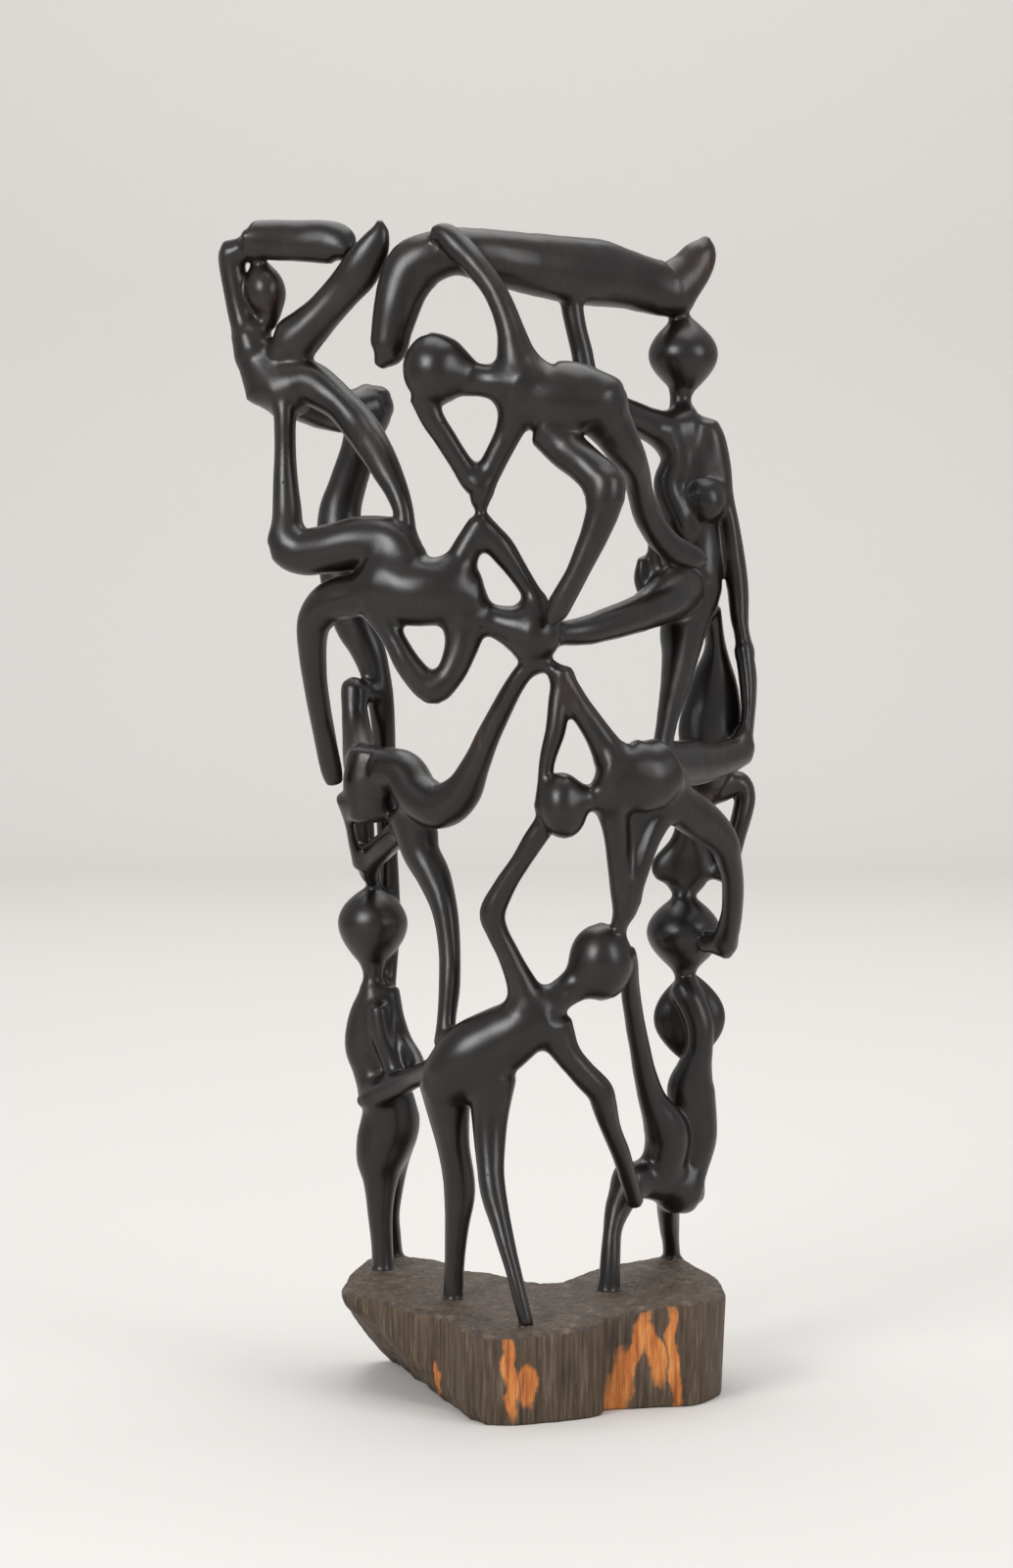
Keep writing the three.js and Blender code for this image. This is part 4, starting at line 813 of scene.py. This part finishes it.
BOTTOM_CENTRE_ACROBAT = Figure(
    "bottom_centre_acrobat",
    limbs={
        "neck": [[31.9, 239.4, -50, 13.5, 13], [21.1, 232, -52, 9.7, 10], [11.4, 225.2, -54, 9.5, 11],
            [2.3, 218.3, -54, 13, 13]],
        "raised_arm": [[6.3, 338, -73, 6, 6.5], [6.3, 328.9, -72, 6.5, 7], [-0.6, 318, -70, 6.5, 7],
            [-8.5, 305, -67, 5.8, 6.5], [-17.7, 290.7, -64, 6.5, 7], [-24.5, 275.9, -62, 7.5, 7.5],
            [-21.6, 263.9, -61, 6.5, 7], [-14.8, 250.2, -60, 6.6, 7], [-8.5, 236, -58, 8.5, 9],
            [-4.5, 225.2, -56, 12, 12]],
        "torso": [[5.7, 213.8, -54, 14, 14], [-6.3, 209.2, -54, 17, 16], [-20.5, 201.2, -52, 20, 17],
            [-34.8, 192.1, -50, 21.5, 18], [-46.2, 184.1, -46, 19, 17], [-54.7, 179.6, -40, 14, 14]],
        "lowered_arm": [[10.8, 208.1, -54, 12, 12], [18.2, 194.4, -54, 8.3, 9],
            [26.8, 183.5, -52, 7.7, 8.5], [37.1, 172.7, -48, 8, 8.5], [40.5, 163.6, -44, 7.4, 8],
            [43.9, 151.1, -38, 6, 7], [50.2, 135.1, -28, 5.5, 6.5], [54.7, 119.7, -18, 5.2, 6],
            [58.2, 107.7, -10, 5, 6]],
        "left_leg": [[-51.9, 176.7, -40, 15.5, 15], [-49.6, 156.8, -36, 12, 13],
            [-47.3, 139.7, -34, 9.5, 11], [-44.4, 122.6, -32, 9.3, 9], [-43.9, 110, -30, 9, 8.5],
            [-45.3, 93.5, -28, 7.1, 8], [-46.7, 73.5, -27, 5.9, 7], [-47.6, 48, -26, 5.6, 7]],
        "right_leg": [[-25, 178, -52, 14, 14], [-26.2, 155, -54, 10.5, 11], [-25.9, 131.7, -60, 8.3, 9],
            [-24.5, 114.6, -66, 7.6, 8], [-19.4, 93.5, -74, 6, 7], [-14.2, 73.5, -82, 4.8, 6],
            [-9.1, 54.2, -88, 4.4, 5.5], [-5.1, 37.1, -91, 4.2, 5]],
    },
    bulbs={
        "head": [[38.8, 269.6, -48], [38.2, 224.6, -48], 18.8, 19, 0.5, 0],
    },
)
LOG_BASE = LogBase(
    outline=[
        [-113, 0], [-110, 30], [-103, 62], [-98, 77], [-83, 81], [-64, 74], [-55, 67], [-42, 46], [-26, 38], [-6, 18],
        [12, 14], [20, 21], [32, 41], [47, 58], [63, 70], [81, 81], [89, 77], [100, 50], [106, 32], [110, 12], [111, -20],
        [104, -40], [96, -54], [86, -60], [75, -62], [53, -66], [41, -70], [36, -84], [18, -98], [1, -104], [-12, -110],
        [-28, -110], [-34, -104], [-42, -92], [-50, -72], [-66, -54], [-83, -38], [-95, -22], [-107, -12],
    ],
)
ACROBATS = [
    TOP_LEFT_ACROBAT,
    TOP_BAR_ACROBAT,
    UPPER_CENTRE_ACROBAT,
    MIDDLE_LEFT_ACROBAT,
    LEFT_COLUMN_ACROBAT,
    BACK_LEFT_ACROBAT,
    LOWER_LEFT_ACROBAT,
    CENTRE_ACROBAT,
    UPPER_RIGHT_ACROBAT,
    RIGHT_COLUMN_ACROBAT,
    LOWER_RIGHT_ACROBAT,
    BOTTOM_CENTRE_ACROBAT,
]


@dataclass
class Gouging:
    """Rows of small scoops cut into the log's upper face with a round gouge."""

    spacing: tuple[float, float] = (4.6, 4.3)
    depth: float = 0.85
    turn: float = 0.25
    table: int = 97

    def relief(self, x: np.ndarray, y: np.ndarray) -> np.ndarray:
        """Depth of the scoops at places seen from above, in mm.

        The face is ruled in slightly curved rows. Each cell holds one round scoop, moved, sized and
        deepened by its own seeded draw; its floor is a bowl, steeper on the near side.
        """
        rng = np.random.default_rng(11)
        draws = rng.uniform(-1, 1, (self.table, self.table, 4))
        c, s = math.cos(self.turn), math.sin(self.turn)
        u = (x * c + y * s + 2.2 * np.sin(y / 21.0)) / self.spacing[0]
        v = (y * c - x * s + 2.6 * np.sin(x / 27.0)) / self.spacing[1]
        row = np.floor(v)
        u = u + 0.5 * (row % 2)
        column = np.floor(u)
        draw = draws[column.astype(int) % self.table, row.astype(int) % self.table]
        du = u - column - 0.5 - 0.13 * draw[..., 0]
        dv = v - row - 0.5 - 0.13 * draw[..., 1]
        away = np.sqrt((du / 0.47) ** 2 + ((dv + 0.12 * du**2) / 0.42) ** 2)
        bowl = np.clip(1 - away, 0, 1) ** 0.7
        return self.depth * bowl * (1 + 0.3 * draw[..., 2]) * (draw[..., 3] > -0.86)


@dataclass
class CarvedGroup:
    """The whole carving: every acrobat and the log, one skin and one mesh."""

    figures: list[Figure]
    base: LogBase
    gouging: Gouging = field(default_factory=Gouging)
    pitch: float = 1.5
    quick_pitch: float = 2.4
    triangles: int = 194000
    rounds: int = 4

    def build(self) -> bpy.types.Object:
        """Carves the block, skins it, cuts the fine relief and thins the mesh.

        Returns:
            The mesh object, with a zone slot for every face.
        """
        pitch = self.pitch
        block = WoodBlock((-192, -122, -8), (142, 98, 692), pitch)
        for figure in self.figures:
            figure.carve(block)
            log.info("carved %s", figure.name)
        acrobats = block.wood
        base = self.base.distance(block)
        block.wood = melt(acrobats, base, FOOT_SOFT).astype(np.float32)
        points, faces = block.skin()
        points = block.settle(points, faces, self.rounds)
        log.info("skin has %d points", len(points))
        mesh = self.mesh_of(points, faces)
        piece = bpy.data.objects.new("carved_acrobats", mesh)
        bpy.context.scene.collection.objects.link(piece)
        self.cut_relief(mesh, block, acrobats)
        self.thin(piece)
        self.mark_zones(piece.data, block, acrobats)
        return piece

    @staticmethod
    def mesh_of(points: np.ndarray, faces: np.ndarray) -> bpy.types.Mesh:
        """A Blender mesh in metres from points in mm and four-cornered faces."""
        mesh = bpy.data.meshes.new("carved_acrobats")
        mesh.from_pydata(points * MM, [], faces)
        mesh.polygons.foreach_set("use_smooth", np.ones(len(faces), bool))
        mesh.update()
        return mesh

    def cut_relief(self, mesh: bpy.types.Mesh, block: WoodBlock, acrobats: np.ndarray) -> None:
        """Splits the faces of the log's upper face in four and presses the scoops into it; the figures get
        the faint waviness of a hand-finished surface, along their normals."""
        count = len(mesh.vertices)
        place = np.empty(count * 3)
        mesh.vertices.foreach_get("co", place)
        place = place.reshape(-1, 3) / MM
        on_top = np.abs(place[:, 2] - self.base.top(place[:, 0], place[:, 1])) < 2.2
        import bmesh

        shape = bmesh.new()
        shape.from_mesh(mesh)
        shape.verts.ensure_lookup_table()
        shape.edges.ensure_lookup_table()
        picked = [edge for edge in shape.edges if on_top[edge.verts[0].index] and on_top[edge.verts[1].index]]
        bmesh.ops.subdivide_edges(shape, edges=picked, cuts=1, use_grid_fill=True)
        bmesh.ops.triangulate(shape, faces=shape.faces)
        shape.to_mesh(mesh)
        shape.free()
        count = len(mesh.vertices)
        place, normal = np.empty(count * 3), np.empty(count * 3)
        mesh.vertices.foreach_get("co", place)
        mesh.vertex_normals.foreach_get("vector", normal)
        place, normal = place.reshape(-1, 3) / MM, normal.reshape(-1, 3)
        figure_gap = self.lattice_value(block, acrobats, place)
        x, y = place[:, 0], place[:, 1]
        top_share = smoothstep(normal[:, 2], 0.55, 0.8) * (np.abs(place[:, 2] - self.base.top(x, y)) < 4)
        top_share = top_share * smoothstep(figure_gap, 1.0, 4.5)
        place[:, 2] -= self.gouging.relief(x, y) * top_share
        waviness = 0.16 * ripple(place * [1, 1, 0.7], 15.0, 21) * (1 - smoothstep(figure_gap, 0.5, 2.0))
        place += normal * waviness[:, None]
        mesh.vertices.foreach_set("co", (place * MM).ravel())
        mesh.update()

    @staticmethod
    def lattice_value(block: WoodBlock, values: np.ndarray, places: np.ndarray) -> np.ndarray:
        """Reads another field of the same lattice at places."""
        kept, block.wood = block.wood, values
        read = block.sample(places)
        block.wood = kept
        return read

    def thin(self, piece: bpy.types.Object) -> None:
        """Merges triangles where the skin is flat, until the piece keeps its budget of them."""
        count = len(piece.data.polygons)
        if count <= self.triangles:
            return
        thinner = piece.modifiers.new("thin", "DECIMATE")
        thinner.ratio = self.triangles / count
        graph = bpy.context.evaluated_depsgraph_get()
        thinned = bpy.data.meshes.new_from_object(piece.evaluated_get(graph))
        piece.modifiers.remove(thinner)
        piece.data = thinned
        thinned.polygons.foreach_set("use_smooth", np.ones(len(thinned.polygons), bool))
        log.info("thinned %d triangles to %d", count, len(thinned.polygons))

    def mark_zones(self, mesh: bpy.types.Mesh, block: WoodBlock, acrobats: np.ndarray) -> None:
        """Gives every face its finish: polished where it belongs to a figure, gouged on the log's upper
        face, and split wood round its side and underneath."""
        count = len(mesh.polygons)
        centre, normal = np.empty(count * 3), np.empty(count * 3)
        mesh.polygons.foreach_get("center", centre)
        mesh.polygons.foreach_get("normal", normal)
        centre, normal = centre.reshape(-1, 3) / MM, normal.reshape(-1, 3)
        figure_gap = self.lattice_value(block, acrobats, centre)
        to_top = centre[:, 2] - self.base.top(centre[:, 0], centre[:, 1])
        zone = np.full(count, Zone.POLISHED.value)
        on_log = (figure_gap > 1.2) & (to_top < 2.5)
        zone[on_log] = Zone.SPLIT_SIDE.value
        zone[on_log & (to_top > -2.8) & (normal[:, 2] > 0.1)] = Zone.GOUGED_TOP.value
        mesh.polygons.foreach_set("material_index", zone)
        mesh.update()


FOOT_SOFT = 3.0



def linear(hex_colour: str) -> tuple[float, float, float, float]:
    """An sRGB hex colour as linear RGBA."""
    parts = [int(hex_colour[i : i + 2], 16) / 255 for i in (1, 3, 5)]
    return (*(c / 12.92 if c <= 0.04045 else ((c + 0.055) / 1.055) ** 2.4 for c in parts), 1.0)


def add_node(tree: bpy.types.NodeTree, kind: str, links: dict | None = None, **settings) -> bpy.types.Node:
    """Adds a node with its settings and links.

    Args:
        tree: The material's node tree.
        kind: The node's type.
        links: Input name or number to an output socket, or to a plain value.
        **settings: Attributes of the node.

    Returns:
        The node.
    """
    node = tree.nodes.new(kind)
    for name, value in settings.items():
        setattr(node, name, value)
    for key, value in (links or {}).items():
        if isinstance(value, bpy.types.NodeSocket):
            tree.links.new(value, node.inputs[key])
        else:
            node.inputs[key].default_value = value
    return node


def ramp(tree: bpy.types.NodeTree, factor: bpy.types.NodeSocket, stops: list[tuple[float, str]]) -> bpy.types.NodeSocket:
    """A colour ramp over a factor; stops are positions and hex colours."""
    node = add_node(tree, "ShaderNodeValToRGB", {"Fac": factor})
    band = node.color_ramp
    for position, colour in stops:
        stop = band.elements[0] if position == stops[0][0] else band.elements.new(position)
        stop.position, stop.color = position, linear(colour)
    band.elements.remove(band.elements[-1]) if len(band.elements) > len(stops) else None
    return node.outputs["Color"]


@dataclass(frozen=True)
class PolishedBlackwood:
    """African blackwood, scraped, sanded and waxed: near black with brown upright grain, and a satin
    gloss that shows a soft light as a broad sheen."""

    name: str = "polished_african_blackwood"
    dark: str = "#110c09"
    brown: str = "#2b1d14"
    warm: str = "#5c3a22"
    roughness: float = 0.3

    def make(self) -> bpy.types.Material:
        """Builds the material."""
        material = bpy.data.materials.new(self.name)
        material.use_nodes = True
        tree = material.node_tree
        shader = tree.nodes["Principled BSDF"]
        place = add_node(tree, "ShaderNodeTexCoord").outputs["Object"]
        # grain: brown streaks about 3 mm apart that run 12 times as long up the log
        grain_at = add_node(tree, "ShaderNodeMapping", {"Vector": place, "Scale": (1.0, 1.0, 0.08)}).outputs[0]
        grain = add_node(tree, "ShaderNodeTexNoise", {"Vector": grain_at, "Scale": 330.0, "Detail": 5.0, "Roughness": 0.62})
        patch = add_node(tree, "ShaderNodeTexNoise", {"Vector": place, "Scale": 24.0, "Detail": 3.0})
        colour = ramp(tree, grain.outputs["Fac"], [(0.36, self.dark), (0.62, self.brown), (0.8, self.warm)])
        veil = add_node(tree, "ShaderNodeMapRange", {"Value": patch.outputs["Fac"], "From Min": 0.5, "From Max": 0.72})
        mixed = add_node(
            tree, "ShaderNodeMix", {0: veil.outputs[0], 6: linear(self.dark), 7: colour}, data_type="RGBA"
        )
        tree.links.new(mixed.outputs[2], shader.inputs["Base Color"])
        worn = add_node(
            tree, "ShaderNodeMapRange",
            {"Value": patch.outputs["Fac"], "To Min": self.roughness - 0.06, "To Max": self.roughness + 0.1},
        )
        tree.links.new(worn.outputs[0], shader.inputs["Roughness"])
        # pores and scraper lines: real ones are 0.1 mm, drawn as 0.6 mm so that they show
        pores = add_node(tree, "ShaderNodeTexNoise", {"Vector": grain_at, "Scale": 1600.0, "Detail": 2.0})
        bump = add_node(tree, "ShaderNodeBump", {"Height": pores.outputs["Fac"], "Strength": 0.12, "Distance": 0.0003})
        tree.links.new(bump.outputs[0], shader.inputs["Normal"])
        shader.inputs["IOR"].default_value = 1.5
        return material


@dataclass(frozen=True)
class GougedBlackwood:
    """Blackwood left as the gouge cut it: dull grey-brown, mottled darker and paler at random."""

    name: str = "gouged_blackwood"
    dark: str = "#2a221b"
    pale: str = "#7d6b59"

    def make(self) -> bpy.types.Material:
        """Builds the material."""
        material = bpy.data.materials.new(self.name)
        material.use_nodes = True
        tree = material.node_tree
        shader = tree.nodes["Principled BSDF"]
        place = add_node(tree, "ShaderNodeTexCoord").outputs["Object"]
        dust = add_node(tree, "ShaderNodeTexNoise", {"Vector": place, "Scale": 140.0, "Detail": 6.0, "Roughness": 0.7})
        colour = ramp(tree, dust.outputs["Fac"], [(0.3, self.dark), (0.55, "#4f4237"), (0.75, self.pale)])
        tree.links.new(colour, shader.inputs["Base Color"])
        shader.inputs["Roughness"].default_value = 0.62
        rough = add_node(tree, "ShaderNodeTexNoise", {"Vector": place, "Scale": 700.0, "Detail": 4.0})
        bump = add_node(tree, "ShaderNodeBump", {"Height": rough.outputs["Fac"], "Strength": 0.5, "Distance": 0.0006})
        tree.links.new(bump.outputs[0], shader.inputs["Normal"])
        return material


@dataclass(frozen=True)
class SplitLogWood:
    """The split side of the log: dull, fibrous dark heartwood with orange sapwood in streaks."""

    name: str = "split_log_wood"
    dark: str = "#1d1611"
    brown: str = "#4b3a29"
    grey: str = "#6f6353"
    orange: str = "#b8692a"
    streaks: tuple[tuple[float, float, float, float, float], ...] = (
        # across, up, half width, half height, lean (mm)
        (-15.0, 30.0, 4.0, 31.0, -3.0),
        (-5.0, 21.0, 6.5, 12.0, 0.0),
        (48.0, 16.0, 8.5, 22.0, 4.0),
        (57.0, 38.0, 5.0, 22.0, 9.0),
        (68.0, 34.0, 7.0, 20.0, -5.0),
        (79.0, 30.0, 3.6, 34.0, -3.0),
        (-55.0, 14.0, 1.8, 10.0, 0.0),
    )

    def make(self) -> bpy.types.Material:
        """Builds the material."""
        material = bpy.data.materials.new(self.name)
        material.use_nodes = True
        tree = material.node_tree
        shader = tree.nodes["Principled BSDF"]
        place = add_node(tree, "ShaderNodeTexCoord").outputs["Object"]
        fibre_at = add_node(tree, "ShaderNodeMapping", {"Vector": place, "Scale": (1.0, 1.0, 0.07)}).outputs[0]
        fibre = add_node(tree, "ShaderNodeTexNoise", {"Vector": fibre_at, "Scale": 420.0, "Detail": 6.0, "Roughness": 0.7})
        band = add_node(tree, "ShaderNodeTexNoise", {"Vector": fibre_at, "Scale": 60.0, "Detail": 2.0})
        colour = ramp(tree, fibre.outputs["Fac"], [(0.32, self.dark), (0.52, self.brown), (0.74, self.grey)])
        warp = add_node(tree, "ShaderNodeTexNoise", {"Vector": place, "Scale": 55.0, "Detail": 3.0})
        shifted = add_node(
            tree, "ShaderNodeVectorMath",
            {0: add_node(tree, "ShaderNodeVectorMath", {0: warp.outputs["Color"], 1: (0.5, 0.5, 0.5)},
                         operation="SUBTRACT").outputs[0], 1: (0.012, 0.0, 0.02), 2: place},
            operation="MULTIPLY_ADD",
        ).outputs[0]
        mask = None
        for across, up, wide, high, lean in self.streaks:
            turned = add_node(
                tree, "ShaderNodeMapping",
                {"Vector": shifted, "Location": (across * MM, 0, up * MM), "Rotation": (0, math.atan2(lean, high), 0),
                 "Scale": (wide * MM, 1000.0, high * MM)}, vector_type="TEXTURE",
            ).outputs[0]
            length = add_node(tree, "ShaderNodeVectorMath", {0: turned}, operation="LENGTH").outputs["Value"]
            patch = add_node(tree, "ShaderNodeMapRange",
                             {"Value": length, "From Min": 1.05, "From Max": 0.75, "To Min": 0.0, "To Max": 1.0}).outputs[0]
            mask = patch if mask is None else add_node(
                tree, "ShaderNodeMath", {0: mask, 1: patch}, operation="MAXIMUM").outputs[0]
        front = add_node(tree, "ShaderNodeSeparateXYZ", {"Vector": place}).outputs["Y"]
        facing = add_node(tree, "ShaderNodeMapRange", {"Value": front, "From Min": 0.01, "From Max": -0.01}).outputs[0]
        mask = add_node(tree, "ShaderNodeMath", {0: mask, 1: facing}, operation="MULTIPLY").outputs[0]
        sap = ramp(tree, fibre.outputs["Fac"], [(0.3, "#6a3a18"), (0.5, self.orange), (0.72, "#d79a58")])
        mixed = add_node(tree, "ShaderNodeMix", {0: mask, 6: colour, 7: sap}, data_type="RGBA").outputs[2]
        tree.links.new(mixed, shader.inputs["Base Color"])
        shader.inputs["Roughness"].default_value = 0.66
        height = add_node(tree, "ShaderNodeMath", {0: fibre.outputs["Fac"], 1: band.outputs["Fac"]}, operation="ADD")
        bump = add_node(tree, "ShaderNodeBump", {"Height": height.outputs[0], "Strength": 0.55, "Distance": 0.0012})
        tree.links.new(bump.outputs[0], shader.inputs["Normal"])
        return material



@dataclass(frozen=True)
class SoftBox:
    """A square area light that points at a place."""

    name: str
    at: tuple[float, float, float]
    aim: tuple[float, float, float]
    size: tuple[float, float]
    watts: float
    colour: str = "#ffffff"

    def place(self) -> None:
        """Puts the light in the scene."""
        data = bpy.data.lights.new(self.name, "AREA")
        data.shape, data.size, data.size_y = "RECTANGLE", *self.size
        data.energy, data.color = self.watts, linear(self.colour)[:3]
        lamp = bpy.data.objects.new(self.name, data)
        lamp.location = self.at
        lamp.rotation_euler = (Vector(self.aim) - Vector(self.at)).to_track_quat("-Z", "Y").to_euler()
        bpy.context.scene.collection.objects.link(lamp)


@dataclass
class Studio:
    """Plain pale sweep, soft lights and the camera at the photograph's angle."""

    view_height: float = 0.912
    sensor: float = 36.0
    paper: str = "#d0cdca"
    world: str = "#ffffff"
    world_strength: float = 0.55
    # the wall stands behind every place that a camera takes around the carving, so it hides nothing
    front: float = -2.5
    wall: float = 4.7
    bend: float = 0.9
    height: float = 4.5

    def sweep(self) -> None:
        """A paper sweep: a floor that curves up, in a quarter circle, into a wall."""
        foot = self.wall - self.bend
        depth = np.linspace(self.front, foot, 60)
        turn = np.linspace(0, np.pi / 2, 24)[1:]
        y = np.concatenate([depth, foot + self.bend * np.sin(turn), [self.wall]])
        z = np.concatenate([0 * depth, self.bend * (1 - np.cos(turn)), [self.height]])
        x = np.array([-4.0, 4.0])
        points = np.stack([np.tile(x, (len(y), 1)), np.tile(y[:, None], (1, 2)), np.tile(z[:, None], (1, 2))], axis=2)
        start = 2 * np.arange(len(y) - 1)
        mesh = bpy.data.meshes.new("paper_sweep")
        mesh.from_pydata(points.reshape(-1, 3), [], np.stack([start, start + 1, start + 3, start + 2], axis=1))
        mesh.polygons.foreach_set("use_smooth", np.ones(len(start), bool))
        material = bpy.data.materials.new("matt_paper")
        material.use_nodes = True
        shader = material.node_tree.nodes["Principled BSDF"]
        shader.inputs["Base Color"].default_value = linear(self.paper)
        shader.inputs["Roughness"].default_value = 0.95
        shader.inputs["Specular IOR Level"].default_value = 0.1
        mesh.materials.append(material)
        sweep = bpy.data.objects.new("paper_sweep", mesh)
        bpy.context.scene.collection.objects.link(sweep)

    def lights(self) -> None:
        """A broad key from the left front, a weaker one from the right, one above, one for the wall."""
        for box in (
            SoftBox("key_left", (-1.5, -2.0, 1.5), (0, 0, 0.35), (1.1, 1.1), 46),
            SoftBox("fill_right", (1.9, -1.5, 1.2), (0, 0, 0.35), (1.0, 1.4), 20),
            SoftBox("above", (0.1, 0.3, 2.4), (0, 0, 0), (1.8, 1.8), 30),
            SoftBox("wall_wash", (0.0, 2.2, 3.0), (0, 4.2, 0.1), (3.5, 1.0), 62),
        ):
            box.place()
        world = bpy.data.worlds.new("room")
        world.use_nodes = True
        background = world.node_tree.nodes["Background"]
        background.inputs["Color"].default_value = linear(self.world)
        background.inputs["Strength"].default_value = self.world_strength
        bpy.context.scene.world = world

    def camera(self) -> None:
        """The photograph's camera: at the eye of the front sheet, with a frame as high as the photograph."""
        data = bpy.data.cameras.new("camera")
        data.sensor_width = self.sensor
        data.lens = SHEET.eye_distance * MM / self.view_height * self.sensor
        data.clip_start, data.clip_end = 0.1, 20
        camera = bpy.data.objects.new("camera", data)
        eye, sight, upward = (Vector(v) for v in (SHEET.eye * MM, SHEET.sight, SHEET.upward))
        camera.matrix_world = Matrix.Translation(eye) @ Matrix((sight.cross(upward), upward, -sight)).transposed().to_4x4()
        bpy.context.scene.collection.objects.link(camera)
        bpy.context.scene.camera = camera

    def build(self) -> None:
        """Sets up the whole studio."""
        self.sweep()
        self.lights()
        self.camera()
        bpy.context.scene.view_settings.view_transform = "Standard"


def main() -> None:
    """Builds the carving, dresses it and sets up the studio."""
    logging.basicConfig(level=logging.INFO, format="%(message)s")
    group = CarvedGroup(ACROBATS, LOG_BASE)
    piece = group.build()
    for finish in (PolishedBlackwood(), GougedBlackwood(), SplitLogWood()):
        piece.data.materials.append(finish.make())
    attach(piece, BODY)
    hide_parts(CAD_NODE)
    Studio().build()
    log.info("built %s with %d triangles", piece.name, len(piece.data.polygons))


if __name__ == "__main__":
    main()
